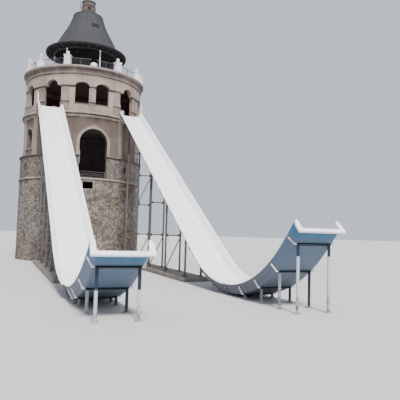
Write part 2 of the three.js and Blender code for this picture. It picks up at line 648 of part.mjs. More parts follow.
// What the chutes must stop short of: the belvedere's round face and the pedestals against it
function towerFace() {
  const clear = (ARCADE_RADIUS + GAP) / Math.cos(Math.PI / FACETS);
  const beside = PEDESTAL_AZIMUTHS.filter((azimuth) => Math.abs(azimuth - SLIDE_DOOR_AZIMUTH) < 20);
  const pedestals = mirrored(beside).map((azimuth) => pedestal(azimuth, GAP));
  return [column(clear, BELVEDERE_FLOOR, CORNICE_BOTTOM), ...pedestals];
}

// Height of a chute's underside above a place on the ground
function undersideAt(chute, y) {
  const { centreY, centreZ } = chuteLine(chute);
  const reach = chute.radius + CHUTE.depth;
  const along = y - centreY;
  if (along > reach * Math.sin(SLOPE_ANGLE)) {
    return SLOPE_LINE_Z + y * Math.tan(SLOPE_ANGLE) - CHUTE.depth / Math.cos(SLOPE_ANGLE);
  }
  if (along < -reach * Math.sin(chute.lipAngle)) {
    const run = -along - reach * Math.sin(chute.lipAngle);
    return centreZ - reach * Math.cos(chute.lipAngle) + run * Math.tan(chute.lipAngle);
  }
  return centreZ - Math.sqrt(reach ** 2 - along ** 2);
}

// Two posts under a beam whose top is cut to the chute, with ties where the posts are tall
function supportFrame(chute, y, foot, { half, post, beam, tie, tieStep }) {
  const under = undersideAt(chute, y);
  const beamTop = under + 100;
  const posts = [-half, half].map((side) => {
    const x = chute.x + side;
    const plate = block([x - BASE_PLATE.size / 2, y - BASE_PLATE.size / 2, foot],
      [x + BASE_PLATE.size / 2, y + BASE_PLATE.size / 2, foot + BASE_PLATE.thickness]);
    return plate.add(bar([x, y, foot], [x, y, beamTop], post));
  });
  const [reach, depth] = [half + post, beam / 2];
  const cap = block([chute.x - reach, y - depth, under - beam], [chute.x + reach, y + depth, beamTop]);
  const ties = [];
  if (tie) {
    const levels = Math.floor((under - foot - 700) / tieStep);
    for (let i = 1; i <= levels; i += 1) {
      const z = foot + i * tieStep;
      ties.push(bar([chute.x - half, y, z], [chute.x + half, y, z], tie));
      const diagonal = [[chute.x - half, y, z - tieStep + 120], [chute.x + half, y, z - 120]];
      if (i % 2 === 1) ties.push(bar(...diagonal, tie));
    }
  }
  const above = chuteEnvelope(chute, 0).translate(0, 0, -GAP);
  return joined([...posts, cap, ...ties]).subtract(above);
}

function buildSteelwork() {
  for (const chute of CHUTES) {
    PORTAL_ROWS[chute.name].forEach((y, i) => {
      addMesh(`${chute.name}_ramp_portal_${i + 1}`, supportFrame(chute, y, 0, PORTAL), GALVANISED);
    });
    BENT_ROWS.forEach((y, i) => {
      const frame = supportFrame(chute, y, FOOTING.height + GAP, BENT);
      addMesh(`${chute.name}_slope_bent_${i + 1}`, frame, GALVANISED);
    });
    const half = FOOTING.width / 2;
    const footing = block([chute.x - half, FOOTING.from, 0], [chute.x + half, FOOTING.to, FOOTING.height]);
    addMesh(`${chute.name}_footing`, footing, CONCRETE);
  }
}

buildWalls();
buildBelvedere();
buildCourses();
buildShaftTrim();
buildDoorGuard();
buildRailing();
buildRoof();
buildChutes();
buildSteelwork();

// The part's origin is the middle of its plan, on the ground
const bounds = new THREE.Box3().setFromObject(tower);
tower.position.set(-(bounds.min.x + bounds.max.x) / 2, -(bounds.min.y + bounds.max.y) / 2, 0);
tower.name = "water_slide_tower";

export default tower;
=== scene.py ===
"""Dresses the water slide tower.

The tower's masonry, render, mouldings and roof, the two gelcoat chutes and their steelwork are
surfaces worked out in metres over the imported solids, in the part's own frame.
"""

import logging
import math
from dataclasses import dataclass, field, replace
from enum import Enum
from typing import Callable

import bmesh
import bpy
import numpy as np
from mathutils import Matrix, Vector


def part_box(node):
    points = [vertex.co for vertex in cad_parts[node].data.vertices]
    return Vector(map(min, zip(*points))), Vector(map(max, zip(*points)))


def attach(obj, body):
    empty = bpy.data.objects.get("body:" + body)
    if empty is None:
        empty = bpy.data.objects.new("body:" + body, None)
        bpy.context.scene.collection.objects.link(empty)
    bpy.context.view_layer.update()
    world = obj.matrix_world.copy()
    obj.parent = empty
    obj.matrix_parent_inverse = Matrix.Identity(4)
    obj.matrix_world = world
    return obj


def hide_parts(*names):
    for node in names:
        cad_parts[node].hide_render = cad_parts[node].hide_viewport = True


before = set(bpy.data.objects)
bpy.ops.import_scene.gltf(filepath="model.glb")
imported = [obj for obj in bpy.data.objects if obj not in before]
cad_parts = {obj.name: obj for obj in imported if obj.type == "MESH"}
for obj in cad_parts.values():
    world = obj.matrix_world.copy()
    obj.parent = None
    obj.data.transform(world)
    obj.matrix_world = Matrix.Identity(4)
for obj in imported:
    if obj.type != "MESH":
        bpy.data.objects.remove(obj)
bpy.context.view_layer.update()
LOG = logging.getLogger("water_slide_tower")

# The tower's axis is the middle of its door floor, and the chutes' lips lie this far in front of it
AXIS_Y = float(sum(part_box("door_floor")[i].y for i in (0, 1)) / 2)
LIP_TO_AXIS = 33.41
LIP_LINE = AXIS_Y - LIP_TO_AXIS
TURN = 2 * math.pi
SIDES = (-1, 1)
ACROSS, BACKWARDS, UP = np.eye(3)


# Surfaces


@dataclass
class Patch:
    """Polygons with equally many corners: point numbers, unrolled places in metres, and one finish."""

    corners: np.ndarray
    uv: np.ndarray
    finish: int = 0


@dataclass
class Surface:
    """Points in metres, the polygons on them, and named values at the points."""

    points: np.ndarray
    patches: list[Patch]
    values: dict[str, np.ndarray] = field(default_factory=dict)

    def painted(self, finish: int) -> "Surface":
        """Returns the same surface with one finish all over."""
        return replace(self, patches=[replace(patch, finish=finish) for patch in self.patches])

    def turned(self) -> "Surface":
        """Returns the same surface with its faces looking the other way."""
        patches = [Patch(p.corners[:, ::-1], p.uv[:, ::-1], p.finish) for p in self.patches]
        return replace(self, patches=patches)

    def valued(self, **values: float) -> "Surface":
        """Returns the same surface with named values, equal at all its points."""
        filled = {name: np.full(len(self.points), float(value)) for name, value in values.items()}
        return replace(self, values={**self.values, **filled})

    def ended(
        self, first: np.ndarray, last: np.ndarray, outlines: np.ndarray, flip: bool, finish: int = 0
    ) -> "Surface":
        """Closes the two ends of a run of sections, whose points have the given numbers."""
        for index, outline, back in ((first, outlines[0], not flip), (last, outlines[-1], flip)):
            step = -1 if back else 1
            self.patches.append(Patch(index[None, ::step], outline[None, ::step], finish))
        return self


def join(surfaces: list[Surface]) -> Surface:
    """Puts several surfaces into one, with 0 for the values that one of them lacks."""
    starts = np.cumsum([0] + [len(s.points) for s in surfaces])
    patches = [
        Patch(patch.corners + start, patch.uv, patch.finish)
        for s, start in zip(surfaces, starts)
        for patch in s.patches
    ]
    values = {
        name: np.concatenate([s.values.get(name, np.zeros(len(s.points))) for s in surfaces])
        for name in {name for s in surfaces for name in s.values}
    }
    return Surface(np.concatenate([s.points for s in surfaces]), patches, values)


def running_length(points: np.ndarray, wrap: bool) -> np.ndarray:
    """Length run along the second axis of a grid, averaged over the first, from 0."""
    closed = np.concatenate([points, points[:, :1]], axis=1) if wrap else points
    return np.concatenate([[0.0], np.cumsum(lengths(np.diff(closed, axis=1)).mean(axis=0))])


def grid(
    points: np.ndarray,
    wrap_rows: bool = False,
    wrap_columns: bool = False,
    flip: bool = False,
    finish: int | np.ndarray = 0,
    uv: np.ndarray | None = None,
    values: dict[str, np.ndarray] | None = None,
) -> Surface:
    """Joins a grid of points with four-cornered faces.

    A face looks along (step to the next column) x (step to the next row), or the other way if flipped.

    Args:
        points: Grid of rows by columns by 3.
        wrap_rows: Whether the last row joins the first.
        wrap_columns: Whether the last column joins the first.
        flip: Whether the faces look the other way.
        finish: One finish, or one for each column of faces.
        uv: Unrolled place of each point, with one more row or column where it wraps.
        values: Named values, each a grid of rows by columns.

    Returns:
        The surface.
    """
    rows, columns = points.shape[:2]
    steps = np.arange(rows - (not wrap_rows)), np.arange(columns - (not wrap_columns))
    row, column = np.meshgrid(*steps, indexing="ij")
    if uv is None:
        along = running_length(points.transpose(1, 0, 2), wrap_rows)
        uv = np.stack(np.meshgrid(running_length(points, wrap_columns), along), axis=-1)
    order = [(0, 0), (0, 1), (1, 1), (1, 0)][:: -1 if flip else 1]
    index = [((row + r) % rows) * columns + (column + c) % columns for r, c in order]
    corners = np.stack(index, axis=-1)
    places = np.stack([uv[row + r, column + c] for r, c in order], axis=-2)
    kinds = np.broadcast_to(np.asarray(finish), row.shape)
    patches = [Patch(corners[kinds == kind], places[kinds == kind], int(kind)) for kind in np.unique(kinds)]
    flat = {name: np.asarray(value, float).reshape(-1) for name, value in (values or {}).items()}
    return Surface(points.reshape(-1, 3), patches, flat)


def lengths(vectors: np.ndarray) -> np.ndarray:
    """Length of each vector."""
    return np.linalg.norm(vectors, axis=-1)


def rounded(outline: np.ndarray, radius: float | np.ndarray, steps: int = 1) -> np.ndarray:
    """Rounds the corners of a closed outline.

    Each corner C becomes a quadratic curve (1-t)^2 A + 2t(1-t) C + t^2 B, where A and B lie the
    radius before and after it, or at most 0.45 of the edge.
    """
    outline = np.asarray(outline, float)
    size = np.broadcast_to(np.asarray(radius, float), (len(outline),))
    ends = []
    for shift in (1, -1):
        edge = np.roll(outline, shift, axis=0) - outline
        reach = np.minimum(size, 0.45 * lengths(edge))
        ends.append(outline + edge * (reach / np.maximum(lengths(edge), 1e-9))[:, None])
    t = np.linspace(0, 1, steps + 1)[None, :, None]
    curve = (1 - t) ** 2 * ends[0][:, None] + 2 * t * (1 - t) * outline[:, None] + t**2 * ends[1][:, None]
    return curve.reshape(-1, 2)


def inset(outline: np.ndarray, distance: float) -> np.ndarray:
    """Moves a counterclockwise outline inwards: each point goes along the mean normal of its edges."""
    ahead = np.roll(outline, -1, axis=0) - np.roll(outline, 1, axis=0)
    normal = np.stack([-ahead[:, 1], ahead[:, 0]], axis=1)
    return outline + distance * normal / np.maximum(lengths(normal)[:, None], 1e-9)


def bevelled(outline: np.ndarray, edge: float) -> np.ndarray:
    """The four outlines of a plate whose first and last are inset by the edge."""
    return np.stack([inset(outline, edge), outline, outline, inset(outline, edge)])


def mirrored(half: list[tuple[float, float]]) -> list[tuple[float, float]]:
    """Half an outline, and its mirror image in reverse order after it."""
    return half + [(-x, w) for x, w in reversed(half)]


def smoothstep(low: float, high: float, value: np.ndarray) -> np.ndarray:
    """Rises from 0 at low to 1 at high as 3t^2 - 2t^3."""
    t = np.clip((value - low) / (high - low), 0, 1)
    return t * t * (3 - 2 * t)


def polar(radius: np.ndarray, azimuth: np.ndarray, height: np.ndarray) -> np.ndarray:
    """Points round the tower: (r sin a, axis - r cos a, height), with the azimuth in radians."""
    radius, azimuth, height = np.broadcast_arrays(radius, azimuth, height)
    return np.stack([radius * np.sin(azimuth), AXIS_Y - radius * np.cos(azimuth), height], axis=-1)


def on_wall(sideways: np.ndarray, height: np.ndarray, radius: np.ndarray, azimuth: float) -> np.ndarray:
    """Stands a flat drawing against the round wall.

    A point lies sqrt(radius^2 - sideways^2) in front of the axis, and all are turned to the azimuth.

    Args:
        sideways: Distance right of the drawing's middle line.
        height: Height above the ground.
        radius: Distance from the tower's axis.
        azimuth: Where the middle line stands, in degrees.

    Returns:
        The points.
    """
    sideways, height, radius = np.broadcast_arrays(sideways, height, radius)
    depth = np.sqrt(np.maximum(radius**2 - sideways**2, 0))
    turn = math.radians(azimuth)
    x = sideways * math.cos(turn) + depth * math.sin(turn)
    y = AXIS_Y + sideways * math.sin(turn) - depth * math.cos(turn)
    return np.stack([x, y, height], axis=-1)


def revolve(
    profile: np.ndarray,
    segments: int = 180,
    arc: tuple[float, float] | None = None,
    closed: bool = True,
    values: Callable[[np.ndarray], dict[str, np.ndarray]] | None = None,
    finish: int = 0,
) -> Surface:
    """Turns a profile about the tower's axis.

    Args:
        profile: (radius, height) points, counterclockwise where it is closed.
        segments: Steps of a full turn.
        arc: First and last azimuth in degrees, or None for the full turn.
        closed: Whether the profile's last point joins its first.
        values: Gives named values from the profile.
        finish: Finish of the surface.

    Returns:
        The surface, with flat ends where it doesn't run all round.
    """
    profile = np.asarray(profile, float)
    if arc is None:
        azimuth = np.linspace(0, TURN, segments, endpoint=False)
    else:
        steps = max(2, round(abs(arc[1] - arc[0]) / 360 * segments))
        azimuth = np.radians(np.linspace(*arc, steps + 1))
    points = polar(profile[:, :1], azimuth[None, :], profile[:, 1:])
    named = values(profile) if values else {}
    along = {name: np.repeat(value[:, None], len(azimuth), 1) for name, value in named.items()}
    surface = grid(points, wrap_rows=closed, wrap_columns=arc is None, finish=finish, values=along)
    if arc is None or not closed:
        return surface
    first = np.arange(len(profile)) * len(azimuth)
    return surface.ended(first, first + len(azimuth) - 1, profile[None], False, finish)


def sweep(
    section: np.ndarray,
    origins: np.ndarray,
    rights: np.ndarray,
    ups: np.ndarray,
    finish: int | np.ndarray = 0,
    values: dict[str, np.ndarray] | None = None,
) -> Surface:
    """Carries a closed counterclockwise section along a path: point = origin + x right + w up.

    Args:
        section: (x, w) points, one outline or one for each station.
        origins: Path points.
        rights: Direction of x, one or one at each of them.
        ups: Direction of w, one or one at each of them.
        finish: One finish, or one for each edge of the section.
        values: Named values, each a grid of stations by section points.

    Returns:
        The surface, closed at its two ends.
    """
    section, origins = np.asarray(section, float), np.asarray(origins, float)
    outlines = np.broadcast_to(section, (len(origins), *section.shape[-2:]))
    rights, ups = (np.broadcast_to(way, origins.shape)[:, None] for way in (rights, ups))
    points = origins[:, None] + outlines[..., :1] * rights + outlines[..., 1:] * ups
    surface = grid(points, wrap_columns=True, flip=True, finish=finish, values=values)
    first = np.arange(outlines.shape[1])
    last = first + (len(origins) - 1) * len(first)
    return surface.ended(first, last, outlines, True, int(np.atleast_1d(finish)[0]))


def straight(
    section: np.ndarray, start: np.ndarray, end: np.ndarray, up: np.ndarray, edge: float = 0.0
) -> Surface:
    """Carries a section straight from start to end, with its two ends bevelled by the edge."""
    start, end = np.asarray(start, float), np.asarray(end, float)
    forward = (end - start) / np.linalg.norm(end - start)
    right = np.cross(forward, up)
    right /= np.linalg.norm(right)
    level = np.cross(right, forward)
    if edge:
        origins = np.stack([start, start + edge * forward, end - edge * forward, end])
        return sweep(bevelled(section, edge), origins, right, level)
    return sweep(section, np.stack([start, end]), right, level)


def circle(radius: float, sides: int = 12) -> np.ndarray:
    """Counterclockwise points on a circle."""
    turn = np.linspace(0, TURN, sides, endpoint=False)
    return radius * np.stack([np.cos(turn), np.sin(turn)], axis=1)


def oblong(width: float, height: float, edge: float = 0.0) -> np.ndarray:
    """A rectangle about its middle, counterclockwise, with its corners cut by the edge."""
    half = np.array([[-1, -1], [1, -1], [1, 1], [-1, 1]]) * np.array([width, height]) / 2
    return rounded(half, edge) if edge else half


def box(low: np.ndarray, high: np.ndarray, edge: float = 0.01) -> Surface:
    """An upright block between two corners with all its edges bevelled."""
    low, high = np.asarray(low, float), np.asarray(high, float)
    middle, size = (low + high) / 2, high - low
    base, top = np.array([*middle[:2], low[2]]), np.array([*middle[:2], high[2]])
    return straight(oblong(size[0], size[1], edge), base, top, BACKWARDS, edge)


def lathe(profile: list[tuple[float, float]], sides: int = 24) -> Surface:
    """Turns a (radius, height) profile about the upright line through the origin."""
    turn = np.linspace(0, TURN, sides, endpoint=False)
    ring = np.stack([np.sin(turn), -np.cos(turn)], axis=1)
    profile = np.array(profile)
    heights = np.repeat(profile[:, None, 1:], sides, axis=1)
    return grid(np.concatenate([profile[:, None, :1] * ring[None], heights], axis=2), wrap_columns=True)


def copies(shape: Surface, origins: np.ndarray, axes: np.ndarray) -> Surface:
    """Stands copies of a shape at several places.

    Args:
        shape: The shape, drawn about the origin.
        origins: Places, k by 3.
        axes: Directions of the shape's x, y and z, one axis a row, for all places or for each.

    Returns:
        One surface with all the copies: point = origin + x X + y Y + z Z.
    """
    origins = np.asarray(origins, float)
    count, size = len(origins), len(shape.points)
    axes = np.broadcast_to(axes, (count, 3, 3))
    points = origins[:, None] + np.einsum("na,kab->knb", shape.points, axes)
    shifts = (np.arange(count) * size)[:, None, None]
    patches = [
        Patch(np.concatenate(p.corners[None] + shifts), np.tile(p.uv, (count, 1, 1)), p.finish)
        for p in shape.patches
    ]
    values = {name: np.tile(value, count) for name, value in shape.values.items()}
    return Surface(points.reshape(-1, 3), patches, values)


def facing(azimuths: np.ndarray) -> np.ndarray:
    """Axes of things round the tower: x sideways, y inwards and z up, for each azimuth in degrees."""
    turn = np.radians(np.asarray(azimuths, float))
    zero, one = np.zeros_like(turn), np.ones_like(turn)
    sideways = np.stack([np.cos(turn), np.sin(turn), zero], axis=1)
    inwards = np.stack([-np.sin(turn), np.cos(turn), zero], axis=1)
    return np.stack([sideways, inwards, np.stack([zero, zero, one], axis=1)], axis=1)


# Finishes

Socket = bpy.types.NodeSocket


def linear(colour: str) -> tuple[float, float, float, float]:
    """Turns an sRGB hex value into linear red, green, blue and alpha."""
    parts = np.array([int(colour[i : i + 2], 16) for i in (1, 3, 5)]) / 255
    values = np.where(parts <= 0.04045, parts / 12.92, ((parts + 0.055) / 1.055) ** 2.4)
    return (*map(float, values), 1.0)


def add_node(tree: bpy.types.NodeTree, kind: str, inputs: dict | None = None, **settings) -> bpy.types.Node:
    """Adds a node with its settings, and fills its inputs or links them to sockets."""
    node = tree.nodes.new(kind)
    for name, value in settings.items():
        setattr(node, name, value)
    for name, value in (inputs or {}).items():
        fill(tree, node.inputs[name], value)
    return node


def fill(tree: bpy.types.NodeTree, socket: Socket, value: Socket | float | tuple) -> None:
    """Links an input to another socket, or sets its value."""
    if isinstance(value, Socket):
        tree.links.new(value, socket)
    else:
        socket.default_value = value


@dataclass
class Recipe:
    """Steps that several finishes share, on one material's nodes.

    Attributes:
        tree: The nodes.
        shader: The surface's shader.
        place: Socket with the place on the object.
        unrolled: Socket with the place on the unrolled surface.
    """

    tree: bpy.types.NodeTree

    def __post_init__(self) -> None:
        """Adds the shader, the output and the coordinates."""
        self.tree.nodes.clear()
        self.shader = add_node(self.tree, "ShaderNodeBsdfPrincipled")
        add_node(self.tree, "ShaderNodeOutputMaterial", {"Surface": self.shader.outputs["BSDF"]})
        coordinates = add_node(self.tree, "ShaderNodeTexCoord").outputs
        self.place, self.unrolled = coordinates["Object"], coordinates["UV"]

    def value(self, name: str) -> Socket:
        """A named value of the surface."""
        return add_node(self.tree, "ShaderNodeAttribute", attribute_name=name).outputs["Fac"]

    def noise(self, scale: float, detail: float, stretch: tuple[float, float] | None = None) -> Socket:
        """Noise in space, or along the unrolled surface where it is stretched."""
        vector = self.place
        if stretch:
            scales = {"Vector": self.unrolled, "Scale": (*stretch, 1.0)}
            vector = add_node(self.tree, "ShaderNodeMapping", scales).outputs[0]
        inputs = {"Vector": vector, "Scale": scale, "Detail": detail}
        return add_node(self.tree, "ShaderNodeTexNoise", inputs).outputs["Fac"]

    def ramp(self, value: Socket, low: float, high: float, top: float = 1.0, bottom: float = 0.0) -> Socket:
        """Carries a value from low..high to bottom..top."""
        inputs = {"Value": value, "From Min": low, "From Max": high, "To Min": bottom, "To Max": top}
        return add_node(self.tree, "ShaderNodeMapRange", inputs).outputs["Result"]

    def mix(self, factor: Socket | float, first: Socket | str, second: Socket | str, mode="MIX") -> Socket:
        """Mixes two colours, given as hex values or sockets."""
        first, second = (linear(c) if isinstance(c, str) else c for c in (first, second))
        inputs = {0: factor, 6: first, 7: second}
        return add_node(self.tree, "ShaderNodeMix", inputs, data_type="RGBA", blend_type=mode).outputs[2]

    def maths(self, operation: str, first: Socket, second: Socket, clamp: bool = False) -> Socket:
        """Adds or multiplies two values."""
        inputs = {0: first, 1: second}
        return add_node(self.tree, "ShaderNodeMath", inputs, operation=operation, use_clamp=clamp).outputs[0]

    def bump(self, height: Socket, distance: float, strength: float) -> None:
        """Gives the shader a relief, with its depth in metres."""
        inputs = {"Height": height, "Distance": distance, "Strength": strength}
        self.surface(Normal=add_node(self.tree, "ShaderNodeBump", inputs).outputs[0])

    def surface(self, **inputs: Socket | float | tuple) -> None:
        """Fills or links the shader's inputs, with underscores for the spaces in their names."""
        for name, value in inputs.items():
            fill(self.tree, self.shader.inputs[name.replace("_", " ")], value)


@dataclass(frozen=True)
class Finish:
    """A finish that makes its material once, and gives it again after that."""

    name: str

    def dress(self, recipe: Recipe) -> None:
        """Adds the finish's own nodes and links them to the shader."""
        raise NotImplementedError

    def material(self) -> bpy.types.Material:
        """Returns the finish's material."""
        made = bpy.data.materials.get(self.name)
        if made is None:
            made = bpy.data.materials.new(self.name)
            made.use_nodes = True
            self.dress(Recipe(made.node_tree))
        return made


@dataclass(frozen=True)
class RubbleMasonry(Finish):
    """Field stones in lime mortar: each stone has its own tone, and the joints lie back and are darker."""

    pale: str
    dark: str
    mortar: str
    earth: str
    grain_mm: float = 18.0

    def dress(self, recipe: Recipe) -> None:
        """Mixes the stone's tone, the joints and broad damp patches."""
        grain = recipe.noise(1000 / self.grain_mm / 4, 6.0)
        damp = recipe.ramp(recipe.noise(0.45, 3.0), 0.42, 0.72, 0.7)
        stone = recipe.mix(recipe.value("stone"), self.dark, self.pale)
        soiled = recipe.mix(damp, stone, self.earth, "MULTIPLY")
        jointed = recipe.mix(recipe.value("joint"), self.mortar, soiled)
        recipe.bump(grain, 0.012, 0.8)
        recipe.surface(Base_Color=recipe.mix(0.35, jointed, grain, "OVERLAY"), Roughness=0.93)


@dataclass(frozen=True)
class WeatheredCoat(Finish):
    """Render, plaster, cut stone or concrete: a mineral surface with grit, broad blotches and streaks.

    The streaks follow the unrolled surface, upright and a hand wide, and the value grime adds the dirt
    that gathers under ledges and on tops, together with painted shade under ledges and where faces look down.
    """

    clean: str
    dirty: str
    grit_mm: float
    roughness: float
    relief: float
    streaks: float = 0.5

    def dress(self, recipe: Recipe) -> None:
        """Mixes clean and dirty by blotches, streaks, and grime with painted shade, and roughens the surface
        with grit.
        """
        blotches = recipe.ramp(recipe.noise(0.9, 5.0), 0.4, 0.7, 0.45)
        streaks = recipe.ramp(recipe.noise(1.0, 4.0, (5.0, 0.35)), 0.5, 0.72, self.streaks)
        grit = recipe.noise(1000 / self.grit_mm / 4, 8.0)
        spots = recipe.maths("ADD", streaks, blotches)
        soot_and_shade = recipe.maths("ADD", recipe.value("grime"), spots, clamp=True)
        colour = recipe.mix(soot_and_shade, self.clean, self.dirty)
        recipe.bump(grit, self.relief, 0.7)
        recipe.surface(Base_Color=recipe.mix(0.25, colour, grit, "OVERLAY"), Roughness=self.roughness)


@dataclass(frozen=True)
class Gelcoat(Finish):
    """Moulded polyester gelcoat: a hard, slightly chalked gloss, with joints and a little run-off dirt.

    The value tone goes from the body colour to the colour of the end band.
    """

    body: str
    band: str
    dirt: str
    roughness: float

    def dress(self, recipe: Recipe) -> None:
        """Mixes the body and band colours, with faint dirt along the flow and in the joints."""
        runs = recipe.noise(1.0, 4.0, (7.0, 0.5))
        dirt = recipe.maths("ADD", recipe.ramp(runs, 0.5, 0.85, 0.3), recipe.value("joint"), clamp=True)
        coat = recipe.mix(recipe.value("tone"), self.body, self.band)
        rough = recipe.ramp(runs, 0.0, 1.0, self.roughness + 0.18, self.roughness)
        recipe.bump(recipe.noise(6.0, 2.0), 0.004, 0.25)
        recipe.surface(Base_Color=recipe.mix(dirt, coat, self.dirt), Roughness=rough, IOR=1.52)


@dataclass(frozen=True)
class CoatedSteel(Finish):
    """Galvanised steel under worn paint: mottled zinc, a darker colour where tone is 1, a coat on some parts
    and painted shade on others, rust by grime.
    """

    pale: str
    dark: str
    rust: str
    metallic: float
    roughness: float

    def dress(self, recipe: Recipe) -> None:
        """Mixes the pale and dark colours by tone, then mottles and rusts them."""
        cells = {"Vector": recipe.place, "Scale": 28.0}
        spangle = add_node(recipe.tree, "ShaderNodeTexVoronoi", cells).outputs["Distance"]
        spots = recipe.noise(7.0, 6.0)
        coat = recipe.mix(recipe.value("tone"), self.pale, self.dark)
        mottled = recipe.mix(0.15, coat, spangle, "OVERLAY")
        rusted = recipe.ramp(recipe.maths("MULTIPLY", recipe.value("grime"), spots), 0.2, 0.5)
        recipe.bump(spots, 0.002, 0.4)
        colour = recipe.mix(rusted, mottled, self.rust)
        recipe.surface(Base_Color=colour, Metallic=self.metallic, Roughness=self.roughness)


@dataclass(frozen=True)
class Boarding(Finish):
    """Tarred or weathered boards: fine grain along the unrolled surface, with darker gaps between boards."""

    light: str
    dark: str
    board_mm: float
    roughness: float

    def dress(self, recipe: Recipe) -> None:
        """Draws grain along the boards and the gaps between them."""
        waves = {"Vector": recipe.unrolled, "Scale": 1000 / self.board_mm / 6.283, "Distortion": 0.0}
        settings = {"bands_direction": "X", "wave_profile": "SAW"}
        boards = add_node(recipe.tree, "ShaderNodeTexWave", waves, **settings).outputs["Fac"]
        gap = recipe.ramp(boards, 0.0, 0.08)
        tone = recipe.mix(recipe.noise(1.0, 5.0, (60.0, 2.0)), self.dark, self.light)
        recipe.bump(gap, 0.006, 0.6)
        recipe.surface(Base_Color=recipe.mix(gap, "#0c0a09", tone), Roughness=self.roughness)


@dataclass(frozen=True)
class RoofFelt(Finish):
    """Mineral roofing felt: matt grey grit in long tapering sheets, a little paler where it has dried out."""

    grey: str
    pale: str
    grit_mm: float = 8.0

    def dress(self, recipe: Recipe) -> None:
        """Mixes two greys in broad runs down the roof, with grit."""
        runs = recipe.ramp(recipe.noise(1.0, 5.0, (1.6, 0.25)), 0.4, 0.68)
        grit = recipe.noise(1000 / self.grit_mm / 4, 6.0)
        tone = recipe.mix(runs, self.grey, self.pale)
        recipe.bump(grit, 0.004, 0.5)
        recipe.surface(Base_Color=recipe.mix(0.3, tone, grit, "OVERLAY"), Roughness=0.78)


@dataclass(frozen=True)
class TintedSheet(Finish):
    """Tinted polycarbonate: a thin, dusty, see-through sheet."""

    tint: str

    def dress(self, recipe: Recipe) -> None:
        """Sets the tint, and lays uneven dust over it."""
        dust = recipe.ramp(recipe.noise(3.0, 4.0), 0.0, 1.0, 0.45, 0.1)
        recipe.surface(Base_Color=linear(self.tint), Roughness=dust, IOR=1.58, Alpha=0.06)


# Field stone set in lime mortar: pale grey-brown stones, each its own tone, over darker joints
RUBBLE = RubbleMasonry("rubble_in_lime_mortar", "#968c82", "#5d534c", "#39322d", "#887c71")
# The same stone laid tighter and half covered with mortar, so it is flatter and browner
POINTED_RUBBLE = RubbleMasonry("flush_pointed_rubble", "#887f77", "#5b534c", "#463f3a", "#9a9185", 14.0)
# Rough-cast cement render: grey-brown, gritty, streaked, and darker under the ledge as painted shade with
# some dirt
ROUGHCAST = WeatheredCoat("roughcast_cement_render", "#6c5d57", "#433833", 22.0, 0.95, 0.014, 0.3)
# Trowelled lime plaster: warm pale beige, nearly smooth
PLASTER = WeatheredCoat("trowelled_lime_plaster", "#98887f", "#54463f", 9.0, 0.85, 0.003, 0.18)
# Cast stone mouldings: paler than the walls where rain washes them, sooty where it doesn't; its dark colour
# also paints shade under ledges and caps
CAST_STONE = WeatheredCoat("cast_stone_moulding", "#a1958b", "#352b27", 10.0, 0.85, 0.003, 0.3)
# The main cornice: the same stone, evenly darkened where it looks down, dirt with painted shade
SOILED_AND_SHADED_STONE = WeatheredCoat("soiled_and_shaded_cast_stone", "#94877e", "#4f433f", 10.0, 0.85, 0.003, 0.06)
# Smooth masonry paint on the door's surround and the pilasters
PAINTED_STONE = WeatheredCoat("painted_cast_stone", "#94897f", "#62574f", 12.0, 0.8, 0.002, 0.3)
# White exterior paint on the terrace piers, chalky and bright
WHITE_MASONRY_PAINT = WeatheredCoat("white_masonry_paint", "#e8dfe4", "#a0959a", 12.0, 0.7, 0.0015, 0.3)
# Old grey plaster inside the base and the shaft
INNER_PLASTER = WeatheredCoat("shaded_inner_plaster", "#8a7c86", "#655a62", 12.0, 0.95, 0.003, 0.5)
# The same plaster in the belvedere and on its ceiling, stained red-brown and darkened as painted shade of the
# dim room
STAINED_SHADED_PLASTER = WeatheredCoat("stained_shaded_inner_plaster", "#593836", "#3e2828", 12.0, 0.95, 0.003, 0.4)
# Cast concrete: grey, dusty, slightly pitted
CONCRETE = WeatheredCoat("cast_concrete", "#90877e", "#685f57", 14.0, 0.9, 0.004, 0.4)
# Grey mineral felt on the bell roof
FELT = RoofFelt("mineral_roofing_felt", "#2b2b2e", "#353639")
# Tarred boards of the eave, almost black
TARRED_BOARDS = Boarding("tarred_softwood_boards", "#3f393a", "#211d1e", 120.0, 0.8)
# The outer edge of the roof: the same boards, covered with bitumen
TARRED_EDGE = Boarding("bitumen_coated_boards", "#171516", "#0b0a0a", 120.0, 0.85)
# Weathered brown-grey boards of the turret
GREY_BOARDS = Boarding("weathered_grey_boards", "#655953", "#483f3a", 110.0, 0.85)
# Oil paint on the roof's posts, white and slightly glossy
WHITE_STEEL = CoatedSteel("white_painted_steel", "#d9d8dc", "#b9babf", "#7a5a45", 0.0, 0.4)
# White gelcoat of the sliding side: bright, glossy, with faint flow dirt
WHITE_GELCOAT = Gelcoat("white_polyester_gelcoat", "#fcf6f9", "#fcf6f9", "#c2bbb8", 0.24)
# The chutes' outer face: grey-blue topcoat on the laminate, stronger blue on the end band; part of this blue
# is painted reflection of the pool and sky
BLUE_TOPCOAT_AND_REFLECTION = Gelcoat("grey_blue_topcoat_and_pool_reflection", "#5c6a80", "#306b90", "#3f3836", 0.45)
# Galvanised posts, pale and dull below, with a slate-blue coat above; on the later portals the dark colour
# also paints shade on the lower posts
POST_STEEL = CoatedSteel("galvanised_post_steel", "#b8bac2", "#1c2738", "#4c392e", 0.15, 0.5)
# The tall bents behind: duller, browner with age; the darker colour on the bents' tops is painted shade
BENT_STEEL = CoatedSteel("weathered_bent_steel", "#787472", "#424042", "#4f382b", 0.2, 0.6)
# Purple-grey sheets between the terrace's piers
SMOKED_SHEET = TintedSheet("smoked_polycarbonate", "#5a5666")


# Pieces


class Slot(Enum):
    """The record's material slots."""

    RUBBLE = "rubble"
    STUCCO = "stucco"
    PLASTER = "plaster"
    DRESSED_STONE = "dressed_stone"
    CONCRETE = "concrete"
    ROOFING = "roofing"
    DARK_TIMBER = "dark_timber"
    WHITE_PAINT = "white_paint"
    GELCOAT = "gelcoat"
    STEEL = "galvanised_steel"


